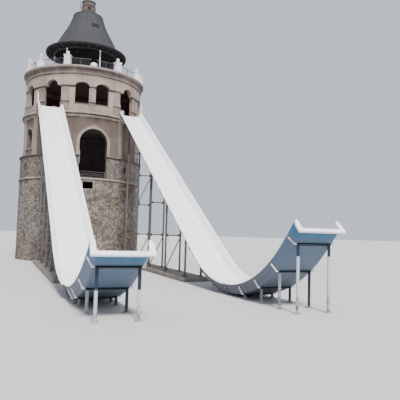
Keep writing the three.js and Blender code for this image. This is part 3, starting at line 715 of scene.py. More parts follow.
def add_piece(
    name: str,
    surfaces: Surface | list[Surface],
    finishes: list[Finish],
    slot: Slot,
    nodes: list[str] | None = None,
    sharp: float = 32.0,
    merge: bool = True,
) -> None:
    """Makes surfaces one object that rides on the part.

    Args:
        name: The piece's name.
        surfaces: Its surface, or several of them.
        finishes: Its finishes, in the order of their numbers.
        slot: The record's slot that it belongs to; not used.
        nodes: The part's nodes that it stands for.
        sharp: Edges that turn by more degrees than this stay sharp.
        merge: Whether points that coincide become one.
    """
    surface = join(surfaces) if isinstance(surfaces, list) else surfaces
    mesh = bpy.data.meshes.new(name)
    counts = np.concatenate([np.full(len(p.corners), p.corners.shape[1]) for p in surface.patches])
    corners = np.concatenate([p.corners.reshape(-1) for p in surface.patches])
    mesh.vertices.add(len(surface.points))
    mesh.vertices.foreach_set("co", surface.points.astype(np.float32).reshape(-1))
    mesh.loops.add(len(corners))
    mesh.loops.foreach_set("vertex_index", corners.astype(np.int32))
    mesh.polygons.add(len(counts))
    mesh.polygons.foreach_set("loop_start", (np.cumsum(counts) - counts).astype(np.int32))
    finish = np.concatenate([np.full(len(p.corners), p.finish) for p in surface.patches])
    mesh.polygons.foreach_set("material_index", finish.astype(np.int32))
    uv = np.concatenate([p.uv.reshape(-1, 2) for p in surface.patches])
    mesh.uv_layers.new(name="unrolled").data.foreach_set("uv", uv.astype(np.float32).reshape(-1))
    for value_name, value in surface.values.items():
        attribute = mesh.attributes.new(value_name, "FLOAT", "POINT")
        attribute.data.foreach_set("value", np.clip(value, 0, 1).astype(np.float32))
    mesh.update(calc_edges=True)
    mesh.validate()
    if merge:
        work = bmesh.new()
        work.from_mesh(mesh)
        bmesh.ops.remove_doubles(work, verts=work.verts, dist=2e-5)
        work.to_mesh(mesh)
        work.free()
    mesh.polygons.foreach_set("use_smooth", np.ones(len(mesh.polygons), bool))
    mesh.set_sharp_from_angle(angle=math.radians(sharp))
    for each in finishes:
        mesh.materials.append(each.material())
    piece = bpy.data.objects.new(name, mesh)
    bpy.context.scene.collection.objects.link(piece)
    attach(piece, "root")
    if nodes:
        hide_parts(*nodes)
    LOG.info("%s: %d triangles", name, sum(len(p.vertices) - 2 for p in mesh.polygons))


def nodes_named(*starts: str) -> list[str]:
    """The part's nodes whose names start with one of these."""
    return [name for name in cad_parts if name.startswith(starts)]


# The tower

# Angles from one side of an arch over its crown to the other
ARCH = np.linspace(0, math.pi, 25)


@dataclass(frozen=True)
class Opening:
    """An upright opening in a round wall: straight sides, and half an ellipse up to its crown."""

    azimuth: float
    width: float
    sill: float
    springing: float
    crown: float

    def sideways(self) -> np.ndarray:
        """Distances across the opening, closer together at its sides: -half cos(theta)."""
        return -self.width / 2 * np.cos(ARCH)

    def head(self) -> np.ndarray:
        """Heights of its head at those distances: springing + rise sin(theta)."""
        return self.springing + (self.crown - self.springing) * np.sin(ARCH)

    def azimuths(self, radius: float) -> np.ndarray:
        """Azimuths in radians of those distances on a wall's face."""
        return math.radians(self.azimuth) + np.arcsin(self.sideways() / radius)


@dataclass(frozen=True)
class RubbleRelief:
    """Stones that stand out of their joints.

    Each stone's centre lies at a random place in its own cell of a grid round the wall. A point belongs
    to the nearest centre, and its joint grows with the difference of its distances to the two nearest.

    Attributes:
        pitch: Width and height of a cell.
        joint: Difference of distances at which a joint ends.
        proud: How far the least stone stands out; the most stands out twice as far.
        seed: Start of the random draws.
        courses: Height that the grid covers.
        flatness: How much more a distance counts upright than along the wall.
    """

    pitch: tuple[float, float]
    joint: float
    proud: float
    seed: int
    courses: float = 30.0
    flatness: float = 1.15

    def at(self, azimuth: np.ndarray, height: np.ndarray, radius: float) -> dict[str, np.ndarray]:
        """Relief in metres, the stone's tone and the joint's value at points of the wall."""
        columns, rows = round(TURN * radius / self.pitch[0]), math.ceil(self.courses / self.pitch[1])
        random = np.random.default_rng(self.seed)
        centre = random.uniform(0.1, 0.9, (rows, columns, 2))
        tone, lift = random.random((rows, columns)), random.random((rows, columns))
        u, v = azimuth / TURN * columns, height / self.pitch[1] + 2
        column, row = np.floor(u).astype(int), np.floor(v).astype(int)
        nearest, second = np.full(u.shape, 9.0), np.full(u.shape, 9.0)
        owner_row, owner_column = row.copy(), column.copy()
        for down, across in [(down, across) for down in (-1, 0, 1) for across in (-1, 0, 1)]:
            cell_row, cell_column = row + down, column + across
            wrapped = cell_column % columns
            at = centre[cell_row % rows, wrapped]
            aside = (cell_column + at[..., 0] - u) * self.pitch[0]
            distance = np.hypot(aside, (cell_row + at[..., 1] - v) * self.pitch[1] * self.flatness)
            closer = distance < nearest
            second = np.where(closer, nearest, np.minimum(second, distance))
            owner_row = np.where(closer, cell_row, owner_row)
            owner_column = np.where(closer, wrapped, owner_column)
            nearest = np.where(closer, distance, nearest)
        joint = smoothstep(0, self.joint, second - nearest)
        owner = (owner_row % rows, owner_column)
        relief = self.proud * (joint * (1 + lift[owner]) - 0.25 * nearest / self.pitch[0])
        return {"relief": relief, "stone": tone[owner], "joint": joint}


@dataclass
class RoundWall:
    """One storey of the round wall, with openings through it.

    Attributes:
        outer: Radius of its outer face.
        inner: Radius of its inner face.
        bottom: Height of its foot.
        top: Height of its top.
        openings: What is cut through it.
        cell: Size of its outer face's grid.
        relief: Stones on its outer face, or None.
        arc: First and last azimuth in degrees, or None all round.
        shade_and_soot_reach: Height over which painted shade and dirt fade below its top.
        soot_and_shade: Painted shade and dirt at its top.
        stone_edge: Width over which the stones flatten towards an opening or an end.
        inner_cell: Size of its inner face's grid.
    """

    outer: float
    inner: float
    bottom: float
    top: float
    openings: list[Opening]
    cell: float = 0.2
    relief: RubbleRelief | None = None
    arc: tuple[float, float] | None = None
    shade_and_soot_reach: float = 0.45
    soot_and_shade: float = 0.8
    stone_edge: float = 0.05
    inner_cell: float = 0.6

    def face(self, radius: float, azimuth: np.ndarray, low: np.ndarray, high: np.ndarray) -> Surface:
        """Covers the wall between two lines of height, at the given azimuths, with a grid."""
        outside = radius == self.outer
        low, high = (np.broadcast_to(line, azimuth.shape) for line in (low, high))
        rows = max(2, math.ceil(float(np.max(high - low)) / (self.cell if outside else self.inner_cell)) + 1)
        height = low[None] + np.linspace(0, 1, rows)[:, None] * (high - low)[None]
        turn = np.broadcast_to(azimuth, height.shape)
        uv = np.stack([turn * radius, height], axis=-1)
        if not outside:
            return grid(polar(radius, turn, height), uv=uv, flip=True, finish=1)
        # Darker towards the top, under the ledge above: painted shade with some dirt
        values, out = {"grime": np.exp(-(self.top - height) / self.shade_and_soot_reach) * self.soot_and_shade}, 0.0
        if self.relief:
            stones = self.relief.at(turn, height, radius)
            from_sides = radius * np.minimum(turn - turn[:, :1], turn[:, -1:] - turn)
            edge = np.minimum(from_sides, np.minimum(height - height[:1], height[-1:] - height))
            out = stones.pop("relief") * smoothstep(0, self.stone_edge, edge)
            values |= stones
        return grid(polar(radius + out, turn, height), uv=uv, values=values)

    def plain_azimuths(self, radius: float, before: Opening | None, after: Opening | None) -> np.ndarray:
        """Azimuths between two openings, or from an end of the wall to one."""
        ends = [math.radians(end) for end in self.arc or (0.0, 360.0)]
        first = before.azimuths(radius)[-1] if before else ends[0]
        last = after.azimuths(radius)[0] if after else ends[1]
        last += TURN if last < first else 0
        cell = self.cell if radius == self.outer else self.inner_cell
        return np.linspace(first, last, max(2, math.ceil((last - first) * radius / cell)) + 1)

    def stretches(self) -> list[tuple[Opening | None, Opening | None]]:
        """Pairs of openings with plain wall between them. None stands for an end of the wall."""
        ordered = sorted(self.openings, key=lambda opening: opening.azimuth)
        if self.arc:
            return list(zip([None, *ordered], [*ordered, None]))
        return list(zip(ordered, [*ordered[1:], ordered[0]]))

    def surface(self) -> Surface:
        """Covers both faces, the top and foot, and the openings' reveals."""
        parts: list[Surface] = []
        radii = (self.outer, self.inner)
        for before, after in self.stretches():
            lines = {radius: self.plain_azimuths(radius, before, after) for radius in radii}
            parts += [self.face(radius, line, self.bottom, self.top) for radius, line in lines.items()]
            ends = {radius: line[[0, -1]] for radius, line in lines.items()}
            parts += self.ledges(ends, True, True)
        for opening in self.openings:
            below, above = opening.sill > self.bottom, opening.crown < self.top
            lines = {radius: opening.azimuths(radius) for radius in radii}
            for radius, line in lines.items():
                if below:
                    parts.append(self.face(radius, line, self.bottom, opening.sill))
                if above:
                    parts.append(self.face(radius, line, opening.head(), self.top))
            parts += self.ledges(lines, below, above)
            parts.append(self.reveal(opening, below, above))
        return join(parts)

    def ledges(self, lines: dict[float, np.ndarray], foot: bool, top: bool) -> list[Surface]:
        """Closes the wall's foot and top between its two faces."""
        per_radian = 30
        rows = [
            line if len(line) > 2 else np.linspace(*line, 1 + max(2, int((line[1] - line[0]) * per_radian)))
            for line in lines.values()
        ]
        part = np.linspace(0, 1, max(len(row) for row in rows))
        azimuths = [np.interp(part, np.linspace(0, 1, len(row)), row) for row in rows]
        made = []
        for wanted, height, flip in ((top, self.top, False), (foot, self.bottom, True)):
            if wanted:
                points = [polar(radius, azimuth, height) for radius, azimuth in zip(lines, azimuths)]
                made.append(grid(np.stack(points), flip=flip).valued(joint=1.0, stone=0.5))
        return made

    def reveal(self, opening: Opening, below: bool, above: bool) -> Surface:
        """Lines an opening from face to face, along its sides, head and sill."""
        half = opening.width / 2
        low, high = max(opening.sill, self.bottom), min(opening.springing, self.top)
        lines = [(np.full(2, -half), np.array([low, high])), (np.full(2, half), np.array([high, low]))]
        if above:
            lines.append((opening.sideways(), opening.head()))
        if below:
            lines.append((opening.sideways()[::-1], np.full(len(ARCH), low)))
        radii = np.linspace(self.outer, self.inner, 4)[None]
        made = [grid(on_wall(x[:, None], z[:, None], radii, opening.azimuth)) for x, z in lines]
        return join(made).valued(joint=1.0, stone=0.55, grime=0.25)


def moulding(points: list[tuple[float, float]], edge: float, base: tuple[float, float]) -> np.ndarray:
    """A ring profile with softened corners, from (out, up) points about a base (radius, height)."""
    return rounded(np.array(points) + base, edge, 2)


def underside_shade_and_dirt(profile: np.ndarray) -> dict[str, np.ndarray]:
    """Darkening on a ring profile, dirt with painted shade: much where it looks down, less on upright faces,
    none on tops.
    """
    ahead = np.roll(profile, -1, axis=0) - np.roll(profile, 1, axis=0)
    down, out = (ahead / np.maximum(lengths(ahead), 1e-9)[:, None]).T
    return {"grime": np.clip(0.75 * down + 0.35 * (1 - np.abs(out)), 0, 1)}


def wall_plate(radius: float, azimuth: float, width: float, low: float, high: float, proud: float) -> Surface:
    """A flat plate against the round wall, with bevelled edges and dirt under its head.

    Args:
        radius: The wall's radius.
        azimuth: Where the plate's middle stands, in degrees.
        width: Its width.
        low: Height of its foot.
        high: Height of its head.
        proud: How far it stands off the wall.

    Returns:
        The plate.
    """
    edge, sunk = 0.012, -0.05
    across = np.linspace(-0.5, 0.5, 9) * (width - 2 * edge)
    sideways = np.concatenate([[-width / 2, -width / 2], across, [width / 2, width / 2]])
    out = np.concatenate([[sunk, proud - edge], np.full(9, proud), [proud - edge, sunk]])
    inner = np.maximum(out - edge, sunk)
    levels = np.array([low, low + edge, high - edge, high])
    points = on_wall(sideways[None], levels[:, None], radius + np.stack([inner, out, out, inner]), azimuth)
    height = np.repeat(levels[:, None], len(sideways), axis=1)
    face = grid(points, values={"grime": 0.5 * np.exp(-(high - height) / 0.2)})
    first = np.arange(len(sideways))
    return face.ended(first, first + 3 * len(first), np.stack([sideways, out], axis=1)[None], False)


def trim(path: np.ndarray, normal: np.ndarray, section: np.ndarray, radius: float, azimuth: float) -> Surface:
    """Carries a section along a line drawn on the round wall.

    Args:
        path: (sideways, height) points of the line.
        normal: Direction on the wall away from what the line frames, at each of them.
        section: (along the normal, out of the wall) points, counterclockwise from the wall's inside.
        radius: Radius of the wall's face.
        azimuth: Where the line's middle stands, in degrees.

    Returns:
        The trim, open at its ends.
    """
    places = path[:, None] + normal[:, None] * section[None, :, :1]
    points = on_wall(places[..., 0], places[..., 1], radius + section[None, :, 1], azimuth)
    return grid(points, wrap_columns=True)


def arch_trim(opening: Opening, radius: float, section: np.ndarray, foot: float | None = None) -> Surface:
    """Carries a section round an arch, and up both its sides from a foot where that is given."""
    half, rise = opening.width / 2, opening.crown - opening.springing
    turn = np.linspace(0, math.pi, 41)
    path = np.stack([-half * np.cos(turn), opening.springing + rise * np.sin(turn)], axis=1)
    normal = np.stack([-np.cos(turn) / half, np.sin(turn) / rise], axis=1)
    normal /= lengths(normal)[:, None]
    if foot is not None:
        path = np.concatenate([[(-half, foot)], path, [(half, foot)]])
        normal = np.concatenate([[(-1.0, 0.0)], normal, [(1.0, 0.0)]])
    first = np.arange(len(section))
    made = trim(path, normal, section, radius, opening.azimuth)
    return made.ended(first, first + (len(path) - 1) * len(section), section[None], False)


def both_sides(azimuths: tuple[float, ...]) -> list[float]:
    """Each azimuth left and right of the front."""
    return [side * azimuth for azimuth in azimuths for side in SIDES]


@dataclass
class Base:
    """The rubble base and the lower storey, with the hatch, the slits and the lower band."""

    radius: float = 5.57
    storey_radius: float = 5.59
    inner: float = 5.0
    top: float = 7.1
    storey_top: float = 9.15
    doorway: Opening = Opening(1.9, 2.42, 7.3, 10.43, 11.64)
    hatch: Opening = Opening(-2.1, 0.86, 6.35, 6.9599, 6.96)
    slit_azimuths: tuple[float, ...] = (34.7, 68.5, 111.5, 145.3)

    def build(self) -> None:
        """Adds the masonry, the frames of its openings and the lower band."""
        slits = [Opening(side * a, 0.15, 8.05, 8.499, 8.5) for side in SIDES for a in self.slit_azimuths]
        stones = RubbleRelief((0.25, 0.18), 0.055, 0.022, 11)
        for side, arc, openings in (("front", (-90.0, 90.0), [self.hatch]), ("back", (90.0, 270.0), [])):
            wall = RoundWall(self.radius, self.inner, 0.0, self.top, openings, 0.047, stones, arc)
            self.masonry(f"base_masonry_{side}", wall, RUBBLE, f"base_wall_{side}")
        heights, flatter = (self.top, self.storey_top), RubbleRelief((0.30, 0.20), 0.07, 0.010, 5)
        wall = RoundWall(self.storey_radius, self.inner, *heights, [self.doorway, *slits], 0.06, flatter)
        self.masonry("lower_storey_masonry", wall, POINTED_RUBBLE, "lower_storey")
        frames = [self.framed(self.hatch, self.radius, 0.11, 0.035, 0.3)]
        # The slits' frames are dark all over: painted shade standing in for the slits' shadowed openings
        frames += [self.framed(slit, self.storey_radius, 0.05, 0.03, 1.0) for slit in slits]
        add_piece("hatch_and_slit_frames", frames, [CAST_STONE], Slot.DRESSED_STONE)
        band = [
            (0, 0), (0.07, 0), (0.09, 0.02), (0.09, 0.05), (0.12, 0.08), (0.12, 0.15), (0.08, 0.19),
            (0, 0.2),
        ]
        ring = revolve(moulding(band, 0.012, (self.radius, self.top)), values=underside_shade_and_dirt)
        add_piece("lower_band_moulding", ring, [CAST_STONE], Slot.DRESSED_STONE, ["lower_band"])

    def masonry(self, name: str, wall: RoundWall, stone: Finish, node: str) -> None:
        """Adds one storey's stone wall."""
        finishes = [stone, INNER_PLASTER]
        add_piece(name, wall.surface(), finishes, Slot.RUBBLE, nodes_named(node), sharp=55, merge=False)

    def framed(self, opening: Opening, radius: float, width: float, proud: float, grime: float) -> Surface:
        """A stone frame round a square opening."""
        half, low, high = opening.width / 2, opening.sill, opening.crown
        corners = np.array([(-half, low), (half, low), (half, high), (-half, high), (-half, low)])
        signs = np.array([(-1, -1), (1, -1), (1, 1), (-1, 1), (-1, -1)])
        section = rounded([(0, -0.06), (width, -0.06), (width, proud), (0, proud)], 0.012)
        return trim(corners, signs, section, radius, opening.azimuth).valued(grime=grime)


@dataclass
class Shaft:
    """The rendered shaft with its doorway, windows, pilasters and upper band."""

    doorway: Opening
    bottom: float = 9.15
    top: float = 12.6
    radius: float = 5.4
    inner: float = 4.75
    surround: float = 0.26
    proud: float = 0.09
    band_radius: float = 5.6
    door_pilasters: tuple[float, ...] = (29.5,)
    window_pilasters: tuple[float, ...] = (57, 79, 113, 135, 169)
    window_azimuths: tuple[float, ...] = (68.0, 124.0, 180.0, 236.0, 292.0)

    def build(self) -> None:
        """Adds the wall and its trim."""
        windows = [Opening(a, 1.06, 9.92, 11.21, 11.74) for a in self.window_azimuths]
        # Its top darkens under the arcade's cornice: painted shade
        wall = RoundWall(self.radius, self.inner, self.bottom, self.top, [self.doorway, *windows], 0.16)
        finishes = [ROUGHCAST, INNER_PLASTER]
        add_piece("shaft_render", wall.surface(), finishes, Slot.STUCCO, nodes_named("shaft_wall"), sharp=40)
        parts = [self.band(), *self.pilasters(), self.arch(), self.keystone()]
        frame_section = rounded([(0, -0.04), (0, 0.035), (0.1, 0.035), (0.1, -0.04)], 0.01)
        for window in windows:
            parts.append(arch_trim(window, self.radius, frame_section, window.sill).valued(grime=0.25))
            sill = (window.width + 0.3, window.sill - 0.1, window.sill, 0.08)
            parts.append(wall_plate(self.radius, window.azimuth, *sill))
        add_piece("shaft_mouldings", parts, [PAINTED_STONE, CAST_STONE], Slot.DRESSED_STONE, ["shaft_trim"])

    def band(self) -> Surface:
        """The upper band, which stops at the doorway's sides."""
        points = [(0, 0), (0.25, 0), (0.29, 0.04), (0.32, 0.06), (0.32, 0.12), (0.26, 0.14), (0, 0.18)]
        profile = moulding(points, 0.012, (self.radius, self.bottom))
        azimuths = np.degrees(self.doorway.azimuths(self.band_radius))
        # The band is dark all over and most where it looks down: painted shade with some dirt
        dirt = {"grime": np.clip(underside_shade_and_dirt(profile)["grime"] + 0.45, 0, 1)}
        return revolve(profile, arc=(azimuths[-1], azimuths[0] + 360), values=lambda _: dirt, finish=1)

    def pilasters(self) -> list[Surface]:
        """Pilasters beside the doorway and the windows, each with a plinth and a cap."""
        foot, head = self.bottom + 0.15, self.top
        return [
            wall_plate(self.radius, azimuth, *plate)
            for azimuths, width in ((self.door_pilasters, 0.42), (self.window_pilasters, 0.58))
            for azimuth in both_sides(azimuths)
            for plate in (
                (width, foot, head, 0.07),
                (width + 0.06, foot, foot + 0.32, 0.1),
                (width + 0.05, head - 0.24, head - 0.17, 0.095),
            )
        ]

    def arch(self) -> Surface:
        """The doorway's surround: a flat band with a raised outer bead, up one side, over and down."""
        width, proud = self.surround, self.proud
        outline = [
            (0, -0.05), (0, proud - 0.02), (0.03, proud - 0.02), (0.04, proud - 0.035),
            (width - 0.07, proud - 0.035), (width - 0.06, proud), (width, proud), (width, -0.05),
        ]
        made = arch_trim(self.doorway, self.radius, rounded(outline, 0.008), self.bottom + 0.14)
        return made.valued(grime=0.12)

    def keystone(self) -> Surface:
        """A wedge over the doorway's crown, wider at its head."""
        low, high = self.doorway.crown - 0.02, self.doorway.crown + self.surround + 0.07
        half = np.array([0.11, 0.115, 0.155, 0.15])
        levels = np.array([low, low + 0.02, high - 0.02, high])
        out = self.proud + np.array([0.03, 0.045, 0.05, 0.035])
        corner = np.array([(-1, -0.05), (-1, 1), (1, 1), (1, -0.05)])
        depth = np.where(corner[None, :, 1] == 1, out[:, None], -0.05)
        sideways = half[:, None] * corner[None, :, 0]
        points = on_wall(sideways, levels[:, None], self.radius + depth, self.doorway.azimuth)
        ends = np.arange(4)
        return grid(points).ended(ends, ends + 12, corner[None], False).valued(grime=0.2)


@dataclass
class DoorGuard:
    """Thin rails across the doorway, between two posts."""

    doorway: Opening
    set_back: float = 4.95
    heights: tuple[float, ...] = (0.14, 0.28, 0.42, 0.6)
    post_height: float = 0.62
    post_size: float = 0.022
    rail_size: float = 0.016
    flange_size: float = 0.032
    foot_half: float = 0.05
    clearance: float = 0.0004

    def build(self) -> None:
        """Adds posts, rails and their end plates."""
        half = self.doorway.width / 2 - 0.006
        across, inwards, _ = facing([self.doorway.azimuth])[0]
        middle = np.array([0.0, AXIS_Y, self.doorway.sill]) - self.set_back * inwards
        parts = []
        for side in SIDES:
            foot = middle + across * side * (half - 0.03) + self.clearance * UP
            parts.append(straight(circle(self.post_size), foot, foot + self.post_height * UP, across, 0.004))
            size = self.foot_half
            parts.append(box(foot - [size, size, 0.0], foot + [size, size, 0.012], 0.003))
        for height in self.heights:
            start, end = (middle + side * across * half + height * UP for side in SIDES)
            parts.append(straight(circle(self.rail_size), start, end, UP))
            for place, way in ((start, 1), (end, -1)):
                flange_end = place + 0.008 * way * across
                parts.append(straight(circle(self.flange_size), place, flange_end, UP, 0.002))
        rails = join(parts).valued(tone=0.3, grime=0.4)
        add_piece("door_guard_rails", rails, [BENT_STEEL], Slot.STEEL, ["door_guard"])


@dataclass
class Belvedere:
    """The arcade over the shaft: parapet, pedestals, arches, frieze and the mouldings of its floor."""

    floor: float = 13.1
    parapet: float = 13.84
    springing: float = 15.37
    cornice: float = 16.4
    radius: float = 5.34
    frieze: float = 5.4
    inner: float = 5.04
    turn: float = -1.2
    window_azimuths: tuple[float, ...] = (9.6, 69.2, 96.9, 124.6, 152.3)
    window_width: float = 1.2
    window_crown: float = 15.73
    door_azimuth: float = 38.4
    door_width: float = 1.71
    door_sill: float = 13.25
    door_crown: float = 15.9
    door_head_width: float = 1.1
    pedestal_azimuths: tuple[float, ...] = (25.4, 51.6, 83, 110.7, 138.4, 166.1)
    pedestal_top: float = 13.95
    ceiling: float = 16.839
    chute_middle: float = 3.56
    chute_half: float = 1.07

    def windows(self) -> list[Opening]:
        """The arched windows all round."""
        azimuths = both_sides(self.window_azimuths) + [180.0]
        heights = (self.parapet, self.springing, self.window_crown)
        return [Opening(azimuth + self.turn, self.window_width, *heights) for azimuth in azimuths]

    def doors(self, width: float) -> list[Opening]:
        """The two arched doors to the chutes, whose heads are narrower than the doors."""
        heights = (self.door_sill, self.springing, self.door_crown)
        return [Opening(a + self.turn, width, *heights) for a in both_sides((self.door_azimuth,))]

    def build(self) -> None:
        """Adds the walls, the trim and the floor's mouldings."""
        arches, heads = (self.windows() + self.doors(w) for w in (self.door_width, self.door_head_width))
        # Both walls darken just under the ledge above them, the arcade under the frieze and the frieze under
        # the cornice: painted shade with some dirt
        lower = RoundWall(self.radius, self.inner, self.floor, self.springing, arches, 0.06, shade_and_soot_reach=0.09)
        upper = RoundWall(self.frieze, self.inner, self.springing, self.cornice, heads, 0.1, shade_and_soot_reach=0.12)
        finishes, plaster = [PLASTER, STAINED_SHADED_PLASTER], Slot.PLASTER
        walls = [name for name in nodes_named("belvedere_") if name != "belvedere_floor"]
        add_piece("arcade_plaster", lower.surface(), finishes, plaster, walls, sharp=40)
        add_piece("frieze_plaster", upper.surface(), finishes, plaster, nodes_named("frieze_"), sharp=40)
        hole, reach, low, high = 0.05, self.inner - 0.05, self.ceiling - 0.009, self.ceiling
        skim = revolve([(hole, low), (reach, low), (reach, high), (hole, high)], 120)
        add_piece("ceiling_plaster", skim, [STAINED_SHADED_PLASTER], plaster)
        pedestals = [plate for a in [0.0, *both_sides(self.pedestal_azimuths)] for plate in self.pedestal(a)]
        add_piece("pedestals_and_pilasters", pedestals, [PLASTER, CAST_STONE], plaster)
        add_piece("arch_mouldings", self.mouldings(arches), [PLASTER, CAST_STONE], plaster)
        self.floor_mouldings()

    def pedestal(self, azimuth: float) -> list[Surface]:
        """A pedestal with plinth and cap, and the pilaster on it with its base and cap."""
        width = 0.52 if azimuth == 0 else 0.76
        shaft, foot, top, head = width - 0.13, self.floor, self.pedestal_top, self.springing
        # The two caps are dark all over: painted shade lines at the caps, with some dirt
        plates = [
            (width, foot, top - 0.06, 0.12, None),
            (width + 0.04, foot, foot + 0.1, 0.135, None),
            (width + 0.06, top - 0.08, top, 0.15, 0.75),
            (shaft, top, head, 0.05, None),
            (shaft + 0.05, top, top + 0.07, 0.075, None),
            (shaft + 0.06, head - 0.09, head, 0.085, 0.85),
        ]
        made = []
        for *sizes, grime in plates:
            plate = wall_plate(self.radius, azimuth + self.turn, *sizes)
            made.append(plate.painted(1).valued(grime=grime) if grime else plate)
        return made

    def mouldings(self, arches: list[Opening]) -> list[Surface]:
        """A raised band round each arch, a sill under each window and a string line between the arches."""
        made = []
        for heads, width in ((self.windows(), 0.12), (self.doors(self.door_head_width), 0.3)):
            band = [(0, -0.03), (0, 0.022), (width - 0.02, 0.022), (width, 0.0), (width, -0.03)]
            made += [arch_trim(arch, self.frieze, rounded(band, 0.006)).valued(grime=0.05) for arch in heads]
        for window in self.windows():
            sill = (window.width + 0.16, self.parapet - 0.07, self.parapet, 0.05)
            made.append(wall_plate(self.radius, window.azimuth, *sill).painted(1))
        ordered = sorted(arches, key=lambda arch: arch.azimuth)
        points = [(-0.02, -0.14), (0.03, -0.13), (0.05, -0.06), (0.055, -0.001), (-0.02, -0.001)]
        profile = moulding(points, 0.006, (self.radius, self.springing))
        for before, after in zip(ordered, [*ordered[1:], ordered[0]]):
            first = math.degrees(before.azimuths(self.radius)[-1])
            last = math.degrees(after.azimuths(self.radius)[0])
            last += 360 if last < first else 0
            # The string line is dark all over: painted shadow under the frieze's ledge
            made.append(revolve(profile, arc=(first, last), finish=1).valued(grime=1.0))
        return made

    def floor_mouldings(self) -> None:
        """Adds the cornice under the arcade, in two stretches that stop at the chutes."""
        points = [
            (-0.1, 0), (0.03, 0), (0.05, 0.05), (0.11, 0.08), (0.12, 0.17), (0.14, 0.22), (0.21, 0.27),
            (0.24, 0.32), (0.25, 0.47), (0.22, 0.5), (-0.1, 0.5),
        ]
        profile = moulding(points, 0.02, (self.frieze, self.floor - 0.5))
        reach = self.frieze + 0.24
        sines = [(self.chute_middle + side * self.chute_half) / reach for side in SIDES]
        near, far = np.degrees(np.arcsin(sines))
        parts = [revolve(profile, arc=arc, values=underside_shade_and_dirt) for arc in ((-near, near), (far, 360 - far))]
        add_piece("lower_cornice_moulding", parts, [CAST_STONE], Slot.DRESSED_STONE)


